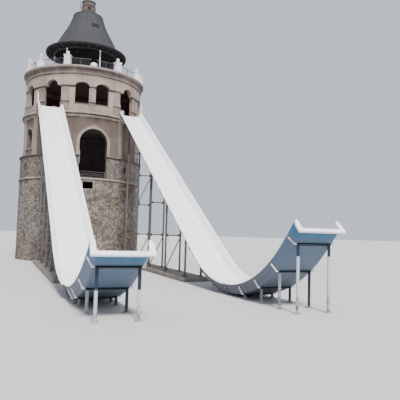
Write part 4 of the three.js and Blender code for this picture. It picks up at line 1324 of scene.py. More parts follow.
@dataclass
class Terrace:
    """The main cornice and the railing that stands on it."""

    level: float = 17.14
    bottom: float = 16.4
    pier_radius: float = 5.35
    width: float = 0.52
    height: float = 0.89
    turn: float = -1.2
    azimuths: tuple[float, ...] = (24.4, 54.3, 77, 102.7, 128.4, 154.2)
    rail_foot: float = 0.08
    rail_height: float = 0.7
    low_rail: float = 0.022
    top_rail: float = 0.028
    flange_size: float = 0.05
    ball: float = 0.15
    drum: float = 0.31

    def places(self) -> list[float]:
        """Azimuths of the piers in order, without the low one in front."""
        right = [a + self.turn for a in (*self.azimuths, 180.0)]
        return right + [360 - a + self.turn for a in reversed(self.azimuths)]

    def build(self) -> None:
        """Adds the cornice, the piers, the low dome and the bays of railing."""
        points = [
            (5.02, 0), (5.42, 0), (5.44, 0.04), (5.5, 0.07), (5.52, 0.13), (5.49, 0.16), (5.5, 0.34),
            (5.56, 0.42), (5.62, 0.47), (5.66, 0.52), (5.69, 0.55), (5.7, 0.58), (5.7, 0.71), (5.67, 0.74),
            (5.02, 0.74),
        ]
        ring = revolve(moulding(points, 0.018, (0.0, self.bottom)), values=self.course_dirt_and_shade)
        add_piece("main_cornice_moulding", ring, [SOILED_AND_SHADED_STONE], Slot.DRESSED_STONE, ["main_cornice"])
        piers = copies(self.pier(), self.feet(self.places()), facing(self.places()))
        dome = copies(self.dome(), self.feet([self.turn]), facing([self.turn]))
        nodes = nodes_named("terrace_railing")
        add_piece("terrace_piers", [piers, dome], [WHITE_MASONRY_PAINT], Slot.WHITE_PAINT, nodes)
        stops = [self.turn, *self.places()]
        bays = [self.ends(*pair) for pair in zip(stops, [*stops[1:], stops[0]])]
        add_piece("terrace_rails", [self.bay(*ends) for ends in bays], [BENT_STEEL], Slot.STEEL)
        sheets = [self.sheets(*ends) for ends in bays]
        add_piece("terrace_sheets", sheets, [SMOKED_SHEET], Slot.STEEL, merge=False)

    def course_dirt_and_shade(self, profile: np.ndarray) -> dict[str, np.ndarray]:
        """The cornice's darkening by height, dirt with painted shade: a dark foot as painted shadow under the
        lower moulding, clean lower moulding, sooty and shaded overhanging middle, rain-washed top edge.
        """
        heights = self.bottom + np.array([0.0, 0.06, 0.17, 0.5, 0.61, 0.74])
        return {"grime": np.interp(profile[:, 1], heights, [0.9, 0.0, 0.75, 0.7, 0.0, 0.0])}

    def feet(self, azimuths: list[float]) -> np.ndarray:
        """Places on the terrace on the piers' circle."""
        return polar(np.full(len(azimuths), self.pier_radius), np.radians(azimuths), self.level)

    def pier(self) -> Surface:
        """A square pier: plinth, chamfered body, moulded cap, neck and ball."""
        width, height = self.width, self.height
        levels = [
            (width + 0.05, 0.0), (width + 0.05, 0.09), (width + 0.01, 0.12), (width, 0.13),
            (width, height - 0.14), (width + 0.015, height - 0.12), (width + 0.02, height - 0.09),
            (0.6, height - 0.07), (0.6, height), (0.54, height + 0.02), (0.24, height + 0.045),
        ]
        outlines = np.stack([oblong(size, size, 0.03) for size, _ in levels])
        body = sweep(outlines, [[0.0, 0.0, z] for _, z in levels], ACROSS, BACKWARDS)
        ball = [(0.105, 0.93), (0.1, 0.95), (0.075, 0.965), (0.075, 0.985)]
        turns = np.linspace(-1.02, TURN / 4, 14)
        ball += [(self.ball * math.cos(t), height + 0.24 + self.ball * math.sin(t)) for t in turns]
        return join([body, lathe(ball)]).valued(grime=0.06)

    def dome(self) -> Surface:
        """The low front pier: a short drum with a rounded head."""
        radius, springing, rise = self.drum, 0.15, 0.27
        line = [(radius + 0.02, 0.0), (radius + 0.02, 0.05), (radius, 0.07), (radius, springing)]
        turns = np.linspace(0, TURN / 4, 14)
        line += [(radius * math.cos(t), springing + rise * math.sin(t)) for t in turns]
        return lathe(line, 40).valued(grime=0.06)

    def ends(self, start: float, end: float) -> tuple[np.ndarray, np.ndarray, np.ndarray]:
        """Where a bay meets its two piers, and the direction along it."""
        first, last = self.feet([start, end])
        along = (last - first) / np.linalg.norm(last - first)
        reach = self.width / 2 - 0.02
        return first + along * reach, last - along * reach, along

    def bay(self, a: np.ndarray, b: np.ndarray, along: np.ndarray) -> Surface:
        """Top and bottom rails and a middle post between two piers."""
        parts = []
        for height, size in ((self.rail_foot, self.low_rail), (self.rail_height, self.top_rail)):
            parts.append(straight(circle(size), a + height * UP, b + height * UP, UP))
        middle = (a + b) / 2
        parts.append(straight(circle(self.top_rail), middle, middle + self.rail_height * UP, along))
        parts.append(straight(circle(self.flange_size), middle, middle + 0.014 * UP, along, 0.003))
        for place, way in ((a, 1), (b, -1)):
            at = place + self.rail_height * UP
            parts.append(straight(circle(self.flange_size), at, at + 0.01 * way * along, UP, 0.002))
        return join(parts).valued(tone=0.8, grime=0.25)

    def sheets(self, a: np.ndarray, b: np.ndarray, along: np.ndarray) -> Surface:
        """Thin tinted sheets in the bay's two halves, held clear of rails and posts."""
        middle = (a + b) / 2
        section = oblong(0.006, self.rail_height - 0.2)
        centre = (self.rail_foot + self.rail_height) / 2 * UP
        halves = ((a + 0.05 * along, middle - 0.06 * along), (middle + 0.06 * along, b - 0.05 * along))
        return join([straight(section, near + centre, far + centre, UP) for near, far in halves])


@dataclass
class Roof:
    """The bell-shaped roof on its posts, with the eave, the turret and the rod."""

    eave: float = 3.86
    eave_top: float = 19.92
    fascia: float = 0.16
    inner: float = 3.56
    bell: tuple[tuple[float, float], ...] = (
        (3.86, 19.97), (3.13, 20.26), (2.78, 20.92), (2.28, 21.87), (1.92, 22.5), (1.69, 23.04),
        (1.42, 23.82),
    )
    rafters: int = 36
    posts: int = 6
    post_radius: float = 3.05
    first_post: float = 15.5
    beam_height: float = 0.12
    clearance: float = 0.0004
    terrace: float = 17.14
    turret: float = 0.66
    turret_foot: float = 23.9
    turret_top: float = 25.56
    rod_x: float = -0.83
    rod_top: float = 25.44

    def build(self) -> None:
        """Adds everything over the terrace."""
        line = self.line()
        self.covering(line)
        add_piece("roof_vent", self.vent(line), [TARRED_EDGE], Slot.DARK_TIMBER)
        self.eaves()
        self.frame()
        self.boarded_turret()
        self.rod()

    def line(self) -> np.ndarray:
        """The bell's smooth line: a curve through its points, smoothed by averages of neighbours."""
        points = np.array(self.bell)
        run = np.concatenate([[0.0], np.cumsum(lengths(np.diff(points, axis=0)))])
        fine = np.linspace(0, run[-1], 61)
        line = np.stack([np.interp(fine, run, points[:, i]) for i in (0, 1)], axis=1)
        for _ in range(12):
            line[1:-1] = (line[:-2] + 2 * line[1:-1] + line[2:]) / 4
        return line

    def seamed(
        self, radius: np.ndarray, height: np.ndarray, count: tuple[int, int], seams: tuple, scale: float
    ) -> Surface:
        """A round surface with upright seams.

        Args:
            radius: Its radius at each height.
            height: Its heights.
            count: Number of seams and of points between two of them.
            seams: How far a seam stands out, where it begins and ends to fade, and the radius that
                turns its angle into a length.
            scale: Width of the unrolled surface in a turn of one radian.

        Returns:
            The surface.
        """
        number, points = count
        azimuth = np.linspace(0, TURN, number * points, endpoint=False)
        phase = np.abs((azimuth * number / TURN + 0.5) % 1 - 0.5) * TURN / number
        proud, low, high, reach = seams
        out = proud * (1 - smoothstep(low, high, phase[None] * reach))
        uv = np.stack(np.broadcast_arrays(np.append(azimuth, TURN)[None] * scale, height[:, None]), axis=-1)
        return grid(polar(radius[:, None] + out, azimuth[None], height[:, None]), wrap_columns=True, uv=uv)

    def covering(self, line: np.ndarray) -> None:
        """Adds the felt with its lapped seams, the boards under it and its edges."""
        radius, height = line.T
        outer = self.seamed(radius, height, (36, 10), (0.014, 0.006, 0.03, line[:, :1]), 2.5)
        low = self.eave_top + 0.001
        rim = [(self.eave - 0.001, 19.97), (self.eave, 19.95), (self.eave, low), (self.inner, low)]
        soffit = [(3.03, 20.21), (2.18, 21.82), (1.59, 22.99), (0.6, 23.80), (0.6, 23.9)]
        edge = revolve(rim[::-1], 360, closed=False)
        inside = revolve([rim[-1], *soffit][::-1], 180, closed=False).painted(1)
        cap = revolve([(1.44, 23.8), (1.45, 23.84), (1.43, 23.9), (0.6, 23.9)], 180, closed=False)
        parts = [outer, edge, inside, cap]
        add_piece("roof_felt", parts, [FELT, TARRED_BOARDS], Slot.ROOFING, ["roof_cone"], sharp=45)

    def vent(self, line: np.ndarray) -> Surface:
        """A low dark hood that lies on the slope near the roof's top, turned a little to the right."""
        height, azimuth, step = 22.4, 13.0, 0.2
        radius, above = (float(np.interp(z, line[:, 1], line[:, 0])) for z in (height, height + step))
        lean = math.atan2(radius - above, step)
        across, inwards, _ = facing([azimuth])[0]
        along = UP * math.cos(lean) + inwards * math.sin(lean)
        normal = -inwards * math.cos(lean) + UP * math.sin(lean)
        foot = polar(np.array(radius), np.radians(azimuth), np.array(height)) - 0.05 * normal
        section = rounded([(-0.32, 0.0), (0.32, 0.0), (0.3, 0.16), (-0.3, 0.16)], 0.03, 2)
        outlines = np.stack([section * [1.0, s] for s in (0.35, 0.9, 1.0, 0.55)])
        origins = np.stack([foot + along * t for t in (-0.22, -0.1, 0.16, 0.24)])
        return sweep(outlines, origins, across, normal)

    def eaves(self) -> None:
        """Adds the fascia with its drip edge, and the rafters under the eave."""
        foot, top = self.eave_top - self.fascia, self.fascia - self.clearance
        board, hollow = self.post_radius - 0.085 - self.eave, self.inner - self.eave
        points = [
            (board, 0), (-0.03, 0), (0, 0.03), (-0.015, 0.06), (-0.015, 0.1), (0, 0.105), (0, top),
            (hollow, top), (hollow, 0.06), (board, 0.06),
        ]
        drip = [(-0.04, 0.1), (0, 0.1), (0, 0.13), (-0.04, 0.13)]
        rings = [
            revolve(moulding(outline, edge, (self.eave, foot)), 240).painted(1)
            for outline, edge in ((points, 0.008), (drip, 0.006))
        ]
        rafter = box([-0.035, 0.09 - self.eave, -0.1], [0.035, 0.02 - self.post_radius, 0.0], 0.006)
        axes = facing(np.arange(self.rafters) * 360 / self.rafters + 5)
        rafters = copies(rafter, np.tile([0.0, AXIS_Y, foot], (self.rafters, 1)), axes)
        finishes = [TARRED_BOARDS, TARRED_EDGE]
        add_piece("eave_boards", [*rings, rafters], finishes, Slot.DARK_TIMBER, ["roof_fascia"], sharp=40)

    def frame(self) -> None:
        """Adds the round posts with their bases, heads and the ring beam."""
        beam = self.eave_top - self.fascia - self.beam_height
        high, half, bolt_out = self.beam_height - self.clearance, 0.09, 0.09
        azimuths = np.arange(self.posts) * 360 / self.posts + self.first_post
        ring = [(-half, 0), (half, 0), (half, high), (-half, high)]
        length = beam - self.terrace
        line = [
            (0.11, 0.0), (0.11, 0.018), (0.105, 0.022), (0.075, 0.024), (0.07, 0.06), (0.06, 0.07),
            (0.06, length - 0.14), (0.075, length - 0.12), (0.08, length - 0.03), (0.1, length - 0.02),
            (0.1, length),
        ]
        bolt = lathe([(0.014, 0.02), (0.014, 0.032), (0.008, 0.036), (0.0, 0.036)], 8)
        turns = np.radians(np.arange(4) * 90 + 45)
        spots = bolt_out * np.stack([np.sin(turns), -np.cos(turns), 0 * turns], axis=1)
        post = join([lathe(line), copies(bolt, spots, np.eye(3))])
        feet = polar(np.full(self.posts, self.post_radius), np.radians(azimuths), self.terrace)
        girder = revolve(moulding(ring, 0.01, (self.post_radius, beam)), 180).painted(1)
        made = join([girder, copies(post, feet, facing(azimuths))]).valued(grime=0.2)
        add_piece("roof_post_steel", made, [WHITE_STEEL, TARRED_BOARDS], Slot.WHITE_PAINT, ["roof_posts"])

    def boarded_turret(self) -> None:
        """Adds the boarded turret with bands, louvres and a low cap."""
        r, foot, top = self.turret, self.turret_foot, self.turret_top
        heights = np.linspace(foot + 0.11, top - 0.26, 13)
        radius = r - 0.04 * (heights - heights[0]) / (heights[-1] - heights[0])
        wall = self.seamed(radius, heights, (40, 8), (-0.014, 0.003, 0.014, r), r)
        base = 0.3 - r
        skirt = moulding([(base, 0), (0.06, 0), (0.06, 0.07), (0, 0.12), (base, 0.12)], 0.012, (r, foot))
        cap = [
            (-0.05, -0.265), (0.02, -0.24), (0.025, -0.19), (-0.02, -0.165), (-0.2, -0.065), (-0.38, -0.02),
            (0.001 - r, 0),
        ]
        band = [(-0.05, 0), (0.012, 0), (0.012, 0.05), (-0.05, 0.05)]
        blade = box([-0.16, -(r + 0.02), 0.0], [0.16, -(r - 0.1), 0.02], 0.004)
        parts = [
            wall, revolve(skirt, 96).painted(1),
            revolve(np.array(cap) + [r, top], 96, closed=False).painted(1),
            *[revolve(moulding(band, 0.006, (r, foot + z)), 96) for z in (0.42, 1.02)],
            *[
                copies(blade, [[0.0, AXIS_Y, foot + 0.53 + 0.09 * step]], facing([side]))
                for side in (-2, 88, 178, 268)
                for step in range(5)
            ],
        ]
        add_piece("turret_boards", parts, [GREY_BOARDS, FELT], Slot.ROOFING, ["roof_turret"], sharp=35)

    def rod(self) -> None:
        """Adds the thin rod beside the turret, with its collar and two stays."""
        foot, at = self.turret_foot, np.array([self.rod_x, AXIS_Y, 0.0])
        parts = [
            straight(circle(size), at + low * UP, at + high * UP, BACKWARDS, edge)
            for size, low, high, edge in (
                (0.028, foot - 0.02, self.rod_top, 0.006), (0.04, foot + 0.05, foot + 0.12, 0.004),
            )
        ]
        for size, x, z in ((0.016, 0.02 - self.turret, foot + 0.9), (0.02, -self.turret - 0.02, foot + 0.09)):
            parts.append(straight(circle(size, 8), at + z * UP, [x, AXIS_Y, z], UP))
        add_piece("roof_rod", join(parts).valued(grime=0.3, tone=1.0), [BENT_STEEL], Slot.STEEL)


# The slides


@dataclass(frozen=True)
class ChuteLine:
    """The rim line of one chute: a straight lip, an arc down through the valley, and the straight slope.

    A distance s along it from the lip lies at the angle (s - lip run) / radius - lip angle of the arc.
    """

    name: str
    x: float
    lowest: float
    radius: float
    lip_angle: float
    lip_run: float
    slope: float = math.radians(31.98)
    slope_foot: float = -4.26
    slope_top: float = 28.8
    depth: float = 0.46

    @property
    def centre(self) -> tuple[float, float]:
        """The arc's centre as (y from the lips' line, z)."""
        z = self.lowest + self.radius
        tangent = (z - self.radius * math.cos(self.slope) - self.slope_foot) / math.tan(self.slope)
        return tangent - self.radius * math.sin(self.slope), z

    @property
    def bottom(self) -> float:
        """Distance of the lowest point."""
        return self.lip_run + self.radius * self.lip_angle

    def on_slope(self, y: float) -> float:
        """Distance of a place on the slope, from its y."""
        tangent = self.centre[0] + self.radius * math.sin(self.slope)
        return self.bottom + self.radius * self.slope + (y - tangent) / math.cos(self.slope)

    def distance_at(self, y: float) -> float:
        """Distance of the section whose underside stands over a y."""
        distances = np.linspace(-1.0, self.on_slope(self.slope_top), 3000)
        points, ups = self.at(distances)
        return float(np.interp(y, (points - self.depth * ups)[:, 1] - LIP_LINE, distances))

    def at(self, distance: np.ndarray) -> tuple[np.ndarray, np.ndarray]:
        """Points on the line, and the directions up from it."""
        distance = np.asarray(distance, float)
        along = np.clip(distance - self.lip_run, 0, self.radius * (self.lip_angle + self.slope))
        angle = along / self.radius - self.lip_angle
        spare = distance - self.lip_run - along
        y = self.centre[0] + self.radius * np.sin(angle) + spare * np.cos(angle)
        z = self.centre[1] - self.radius * np.cos(angle) + spare * np.sin(angle)
        points = np.stack([np.full_like(y, self.x), y + LIP_LINE, z], axis=-1)
        return points, np.stack([np.zeros_like(angle), -np.sin(angle), np.cos(angle)], axis=-1)

    def underside(self, y: float) -> float:
        """Height of the chute's underside over a y, as the part has it."""
        reach = self.radius + self.depth
        along = y - self.centre[0]
        if along > reach * math.sin(self.slope):
            return self.slope_foot + y * math.tan(self.slope) - self.depth / math.cos(self.slope)
        if along < -reach * math.sin(self.lip_angle):
            run = -along - reach * math.sin(self.lip_angle)
            return self.centre[1] - reach * math.cos(self.lip_angle) + run * math.tan(self.lip_angle)
        return self.centre[1] - math.sqrt(reach**2 - along**2)

    def lean(self, y: float) -> float:
        """Angle of the chute's underside over a y."""
        sine = (y - self.centre[0]) / (self.radius + self.depth)
        return math.asin(min(max(sine, -math.sin(self.lip_angle)), math.sin(self.slope)))


@dataclass
class Chute:
    """One open gelcoat chute, from the level pan at the slide door to the take-off lip."""

    line: ChuteLine
    rows: tuple[float, ...]
    rim: float = 1.05
    ramp_rim: float = 0.97
    wall: float = 0.965
    floor: float = 0.76
    corner: float = 0.06
    skin: float = 0.06
    guard_height: float = 0.9
    guard_length: float = 0.52
    wall_radius: float = 5.342
    joints: tuple[float, ...] = (10.4, 19.6)
    first_rib: float = 5.8
    rib_pitch: float = 1.45
    gap: float = 0.0004

    def section(self, rim: float, stretch: float = 1.0) -> tuple[np.ndarray, np.ndarray]:
        """The chute's rounded shell across, and the finish of each of its edges.

        Returns:
            The (x, w) outline, counterclockwise from the left outer rim, and each edge's finish: 1 inside.
        """
        depth, low, steps = self.line.depth * stretch, self.floor + self.corner, 3
        outer = [(-rim, -0.05), (-self.wall, -0.05), (-low, 0.08 - depth), (-self.floor, -depth)]
        inner = [(rim, 0.0), (self.wall - 0.045, 0.0), (low - 0.03, 0.13 - depth)]
        inner.append((self.floor - 0.03, self.skin - depth))
        halves = [0.008, 0.02, 0.04, 0.04], [0.02, 0.03, 0.06, 0.07]
        radii = [radius for half in halves for radius in half + half[::-1]]
        outline = rounded(mirrored(outer) + mirrored(inner), radii, steps)
        edge = np.arange(len(outline)) // (steps + 1)
        return outline, (edge >= 2 * len(outer) - 1).astype(int)

    def shell(self, rim: float, start: float, end: float, step: float = 0.15) -> Surface:
        """The shell between two distances, with its blue grading towards the lip, partly coat and partly
        painted reflection of the pool and sky.
        """
        outline, finish = self.section(rim)
        distance = np.linspace(start, end, max(2, math.ceil((end - start) / step)) + 1)
        points, ups = self.line.at(distance)
        # Outer blue by distance: the band up to the first portal and the wash fading behind it, partly coat
        # and partly painted reflection of the pool and sky
        band = self.rows[0] + 0.05
        tone = np.where(distance < band, 0.95, 0.3 * np.exp(-(distance - band) / 1.2))
        tone = np.repeat(tone[:, None], len(outline), axis=1)
        ends = np.minimum(distance - start, end - distance)
        crossing = (1 - smoothstep(0.0, 0.05, ends))[:, None]
        # The outer face darkens towards the dirt colour from 1.5 m to 4.5 m behind the lip
        darker_behind_lip = 0.65 * smoothstep(1.5, 4.5, distance)[:, None]
        joint = np.where(finish[None] == 1, 0.12 * crossing, np.maximum(0.5 * crossing, darker_behind_lip))
        return sweep(outline, points, ACROSS, ups, finish, {"tone": tone, "joint": joint})

    def build(self) -> None:
        """Adds the run of shells, the flanges, the lip and the level start."""
        line, finishes = self.line, [BLUE_TOPCOAT_AND_REFLECTION, WHITE_GELCOAT]
        stops = [0.0, line.bottom, *[line.on_slope(y) for y in (*self.joints, line.slope_top)]]
        shells = []
        for start, end in zip(stops, stops[1:]):
            near, far = start + self.gap, end - (self.gap if end < stops[-1] else 0.0)
            shells.append(self.shell(self.rim if start else self.ramp_rim, near, far))
        names = ["chute_ramp", "chute_valley", "chute_lower_slope", "chute_upper_slope"]
        nodes = [f"{line.name}_{name}" for name in names]
        parts, look = [*shells, self.lip(), *self.flanges(stops)], {"sharp": 38, "merge": False}
        add_piece(f"{line.name}_chute_shell", parts, finishes, Slot.GELCOAT, nodes, **look)
        nodes = [f"{line.name}_chute_start"]
        add_piece(f"{line.name}_start_pan", self.start(), finishes, Slot.GELCOAT, nodes, **look)

    def lip(self) -> Surface:
        """The take-off lip: a thick white plate across the ramp's end, with rounded ears at its sides."""
        floor_top = self.skin - self.line.depth
        half = [
            (0.99, -0.56), (0.985, -0.2), (0.955, -0.06), (0.925, 0.0), (0.895, 0.022), (0.867, 0.03),
            (0.84, 0.022), (0.82, 0.0), (0.812, -0.04), (0.807, -0.15), (0.8, floor_top + 0.07),
            (0.785, floor_top + 0.02), (0.74, floor_top),
        ]
        points, ups = self.line.at([-0.09, -0.082, -0.006, 0.002])
        return sweep(bevelled(rounded(mirrored(half), 0.02, 2), 0.008), points, ACROSS, ups).painted(1)

    def flanges(self, stops: list[float]) -> list[Surface]:
        """Bolted flange collars at the moulded joints, ribs under the slope and white fins on the ramp."""
        made = []
        for stop in stops[1:4]:
            for low, high in ((-0.022, -0.0006), (0.0006, 0.022)):
                made.append(self.collar(stop + low, stop + high, 0.05))
            made.append(self.bolts(stop))
        for rib in np.arange(self.line.distance_at(self.first_rib), stops[-1] - 0.6, self.rib_pitch):
            if min(abs(rib - stop) for stop in stops[1:4]) > 0.45:
                made.append(self.collar(rib - 0.02, rib + 0.02, 0.03))
        return made + [self.fins(self.line.distance_at(y)) for y in self.rows]

    def fins(self, at: float) -> Surface:
        """White brackets over a beam's ends, deepest at the shell's lower corners, tapering up its walls."""
        right = np.array([
            (0.74, -0.5), (0.84, -0.495), (0.88, -0.37), (0.965, -0.16), (0.94, -0.13), (0.81, -0.37),
            (0.74, -0.45),
        ])
        points, ups = self.line.at([at - 0.012, at + 0.012])
        plates = (right[::-1] * [-1.0, 1.0], right)
        return join([sweep(rounded(plate, 0.006), points, ACROSS, ups) for plate in plates]).painted(1)

    def collar(self, start: float, end: float, reach: float) -> Surface:
        """A fin round the shell's underside that tapers up the walls."""
        floor, low, depth = self.floor, self.floor + self.corner, self.line.depth
        half = [
            (floor + 0.03, -depth - reach), (low + reach, 0.07 - depth), (self.wall + 0.03, -0.09),
            (self.wall - 0.02, -0.09), (low - 0.01, 0.09 - depth), (floor - 0.01, 0.02 - depth),
        ]
        points, ups = self.line.at([start, end])
        return sweep(rounded(mirrored(half), 0.008), points, ACROSS, ups)

    def bolts(self, stop: float) -> Surface:
        """Hexagon bolts through a pair of flanges, along the underside and up both walls."""
        across = np.concatenate([np.linspace(-0.66, 0.66, 7), [-0.86, 0.86, -0.94, 0.94]])
        down = np.concatenate([np.full(7, -self.line.depth - 0.024), [-0.335, -0.335, -0.19, -0.19]])
        points, ups = self.line.at(np.full(len(across), stop))
        origins = points + across[:, None] * ACROSS + down[:, None] * ups
        half = [(0.012, 0.022), (0.012, 0.034), (0.0, 0.036)]
        bolt = lathe([(r, -z) for r, z in reversed(half)] + half, 6)
        return copies(bolt, origins, [ACROSS, ups[0], np.cross(ups[0], ACROSS)]).painted(1).valued(joint=0.5)

    def start(self) -> Surface:
        """The level pan up to the tower's round wall, with its two wing-shaped side guards."""
        rim_z = self.line.slope_foot + self.line.slope_top * math.tan(self.line.slope)
        outline, finish = self.section(self.rim, 1 / math.cos(self.line.slope))
        near, x = self.line.slope_top + LIP_LINE, self.line.x + outline[:, 0]
        far = AXIS_Y - np.sqrt(self.wall_radius**2 - x**2)
        y = near + np.linspace(0, 1, 9)[:, None] * (far - near)[None]
        points = np.stack(np.broadcast_arrays(x, y, rim_z + outline[:, 1]), axis=-1)
        pan = grid(points, wrap_columns=True, flip=True, finish=finish)
        first = np.arange(len(outline))
        pan.ended(first, first + (len(y) - 1) * len(first), outline[None], True)
        return join([pan, *self.guards(near, rim_z)])

    def guards(self, near: float, rim_z: float) -> list[Surface]:
        """Two upright wings whose tops fall from the door to the rim as sqrt(1 - (1 - s)^2)."""
        s = np.linspace(0, 1, 15)
        y = near + self.guard_length * s
        top = rim_z + 0.03 + (self.guard_height - 0.035) * np.sqrt(np.clip(1 - (1 - s) ** 2, 0, 1))
        low = np.stack([y, np.full(15, rim_z - 0.02)], axis=1)
        outlines = bevelled(np.concatenate([low, np.stack([y, top], axis=1)[::-1]]), 0.005)
        middles = [self.line.x + side * (self.rim - 0.03) for side in SIDES]
        origins = [[[x + out, 0.0, 0.0] for out in (-0.03, -0.024, 0.024, 0.03)] for x in middles]
        return [sweep(outlines, places, BACKWARDS, UP).turned().painted(1) for places in origins]


@dataclass
class Steelwork:
    """The portals under one ramp, the bents under its slope and their footing strip."""

    line: ChuteLine
    rows: tuple[float, ...]
    dark_above: float
    bent_rows: tuple[float, ...] = (12.1, 15.8, 19.5, 23.2, 26.9)
    portal_half: float = 0.665
    bent_half: float = 0.5
    portal_post: float = 0.055
    bent_post: float = 0.062
    footing_top: float = 0.22
    pad: float = 0.012
    strip_ends: tuple[float, float] = (11.5, 27.5)
    strip_half: float = 0.85
    tie_pitch: float = 2.35

    def build(self) -> None:
        """Adds portals, bents and footing."""
        name, x, top = self.line.name, self.line.x, self.footing_top
        for kind, prefix, parts, finish in (
            ("portal", "ramp", [self.portal(y, i) for i, y in enumerate(self.rows)], POST_STEEL),
            ("bent", "slope", [self.bent(y) for y in self.bent_rows], BENT_STEEL),
        ):
            nodes = nodes_named(f"{name}_{prefix}_{kind}")
            add_piece(f"{name}_{kind}_steel", parts, [finish], Slot.STEEL, nodes)
        near, far = (y + LIP_LINE for y in self.strip_ends)
        strip = box([x - self.strip_half, near, 0.0], [x + self.strip_half, far, top], 0.025)
        parts = [strip.valued(grime=0.15)]
        for y in self.bent_rows:
            for side in SIDES:
                at = np.array([x + side * self.bent_half, y + LIP_LINE, top])
                pad = box(at - [0.16, 0.16, 0.01], at + [0.16, 0.16, self.pad], 0.006)
                parts.append(pad.valued(grime=0.4))
        add_piece(f"{name}_footing_concrete", parts, [CONCRETE], Slot.CONCRETE, [f"{name}_footing"])

    def post(self, at: np.ndarray, top: float, radius: float, dark_from: float, tone: float = 0.0) -> Surface:
        """A round post with its base plate, bolts and gussets.

        Args:
            at: Middle of its foot.
            top: Height of its head.
            radius: Its radius.
            dark_from: Height over which it is dark: a slate-blue coat on the first portals, painted shade on
                the bents.
            tone: Darkness below that: painted shade on the later portals.

        Returns:
            The post.
        """
        foot, sides, plate_half, plate_top, bolt_out = at[2], 20, 0.108, 0.02, 0.08
        cut = max(min(dark_from, top - 0.02), foot + 0.03)
        origins = [[*at[:2], z] for z in (foot + 0.012, cut - 0.015, cut + 0.015, top)]
        stations = {"tone": [tone, tone, 1.0, 1.0], "grime": [0.75, 0.1, 0.12, 0.2]}
        values = {name: np.repeat(column, sides).reshape(4, sides) for name, column in stations.items()}
        tube = sweep(circle(radius, sides), origins, ACROSS, BACKWARDS, values=values).turned()
        size = np.array([plate_half, plate_half, 0.0])
        plate = box(at - size, at + size + plate_top * UP, 0.004).valued(grime=0.6)
        bolt = lathe([(0.016, 0.018), (0.016, 0.034), (0.009, 0.04), (0.009, 0.05), (0.0, 0.052)], 6)
        spots = [at + bolt_out * (a * ACROSS + b * BACKWARDS) for a in SIDES for b in SIDES]
        parts = [tube, plate, copies(bolt, spots, np.eye(3)).valued(grime=0.7)]
        outline = [(radius - 0.005, 0.018), (0.1, 0.018), (0.1, 0.03), (radius - 0.005, 0.13)]
        for out in (ACROSS, -ACROSS, BACKWARDS, -BACKWARDS):
            half = 0.004 * np.cross(UP, out)
            parts.append(sweep(outline, [at - half, at + half], out, UP).valued(grime=0.5))
        return join(parts)

    def beam(self, y: float, half: float, width: float, tone: float) -> Surface:
        """The head beam: a channel that lies along the chute's underside."""
        lean, reach = self.line.lean(y), half + 0.05
        middle = np.array([self.line.x, y + LIP_LINE, self.line.underside(y) - 0.002])
        normal = np.array([0.0, -math.sin(lean), math.cos(lean)])
        deep, flange, web = 0.055, 0.01, 0.012
        side = [
            (width / 2, -deep), (width / 2, -deep + flange), (web / 2, -deep + flange), (web / 2, -flange),
            (width / 2, -flange), (width / 2, 0),
        ]
        shape = np.roll(mirrored(side), 1, axis=0)
        ends = [middle - reach * ACROSS, middle + reach * ACROSS]
        return sweep(shape, ends, -np.cross(normal, ACROSS), normal).valued(tone=tone, grime=0.25)

    def portal(self, y: float, index: int) -> Surface:
        """Two posts and a beam under the ramp: the first row with a dark coat at its top, the later rows'
        lower posts darkened as painted shade, most on the right.
        """
        top = self.line.underside(y) - 0.05
        dark = top if index else self.dark_above
        # Rows after the first: the lower posts are darkened as painted shade, mid on the left, dark on the
        # right
        lower_coat_and_shade_tones = ((0.0, 0.0), (0.4, 1.0), (0.65, 1.0))[min(index, 2)]
        posts = []
        for side, tone in zip(SIDES, lower_coat_and_shade_tones):
            at = np.array([self.line.x + side * self.portal_half, y + LIP_LINE, 0.0])
            posts.append(self.post(at, top, self.portal_post, dark, tone))
        return join([*posts, self.beam(y, self.portal_half, 0.08, 1.0)])

    def bent(self, y: float) -> Surface:
        """Two tall posts, level ties and diagonals with gusset plates, and a beam."""
        foot, under = self.footing_top, self.line.underside(y)
        left, right = (np.array([self.line.x + side * self.bent_half, y + LIP_LINE, 0.0]) for side in SIDES)
        top = under - 0.07
        # The posts are dark over their top fifth, under the chute: painted shade
        parts = [
            self.post(at + (foot + self.pad) * UP, top, self.bent_post, 0.8 * top) for at in (left, right)
        ]
        parts.append(self.beam(y, self.bent_half, 0.1, 0.6))
        tie, diagonal, gusset = circle(0.038, 14), circle(0.036, 14), np.array([0.14, 0.012, 0.18])
        for i in range(1, int((under - foot - 0.7) // self.tie_pitch) + 1):
            z = foot + 0.0003 + i * self.tie_pitch
            parts.append(straight(tie, left + z * UP, right + z * UP, UP).valued(tone=0.3))
            plates = [(left, z, 0.03), (right, z, -0.17)]
            if i % 2 == 1:
                low, high = left + (z - 2.23) * UP, right + (z - 0.12) * UP
                parts.append(straight(diagonal, low, high, BACKWARDS).valued(tone=0.3))
                plates.append((left, z - 2.18, 0.03))
            for at, height, aside in plates:
                low = at + [aside, -0.006, height - 0.09]
                parts.append(box(low, low + gusset, 0.003).valued(grime=0.5, tone=0.3))
        return join(parts)


# Camera, light and floor


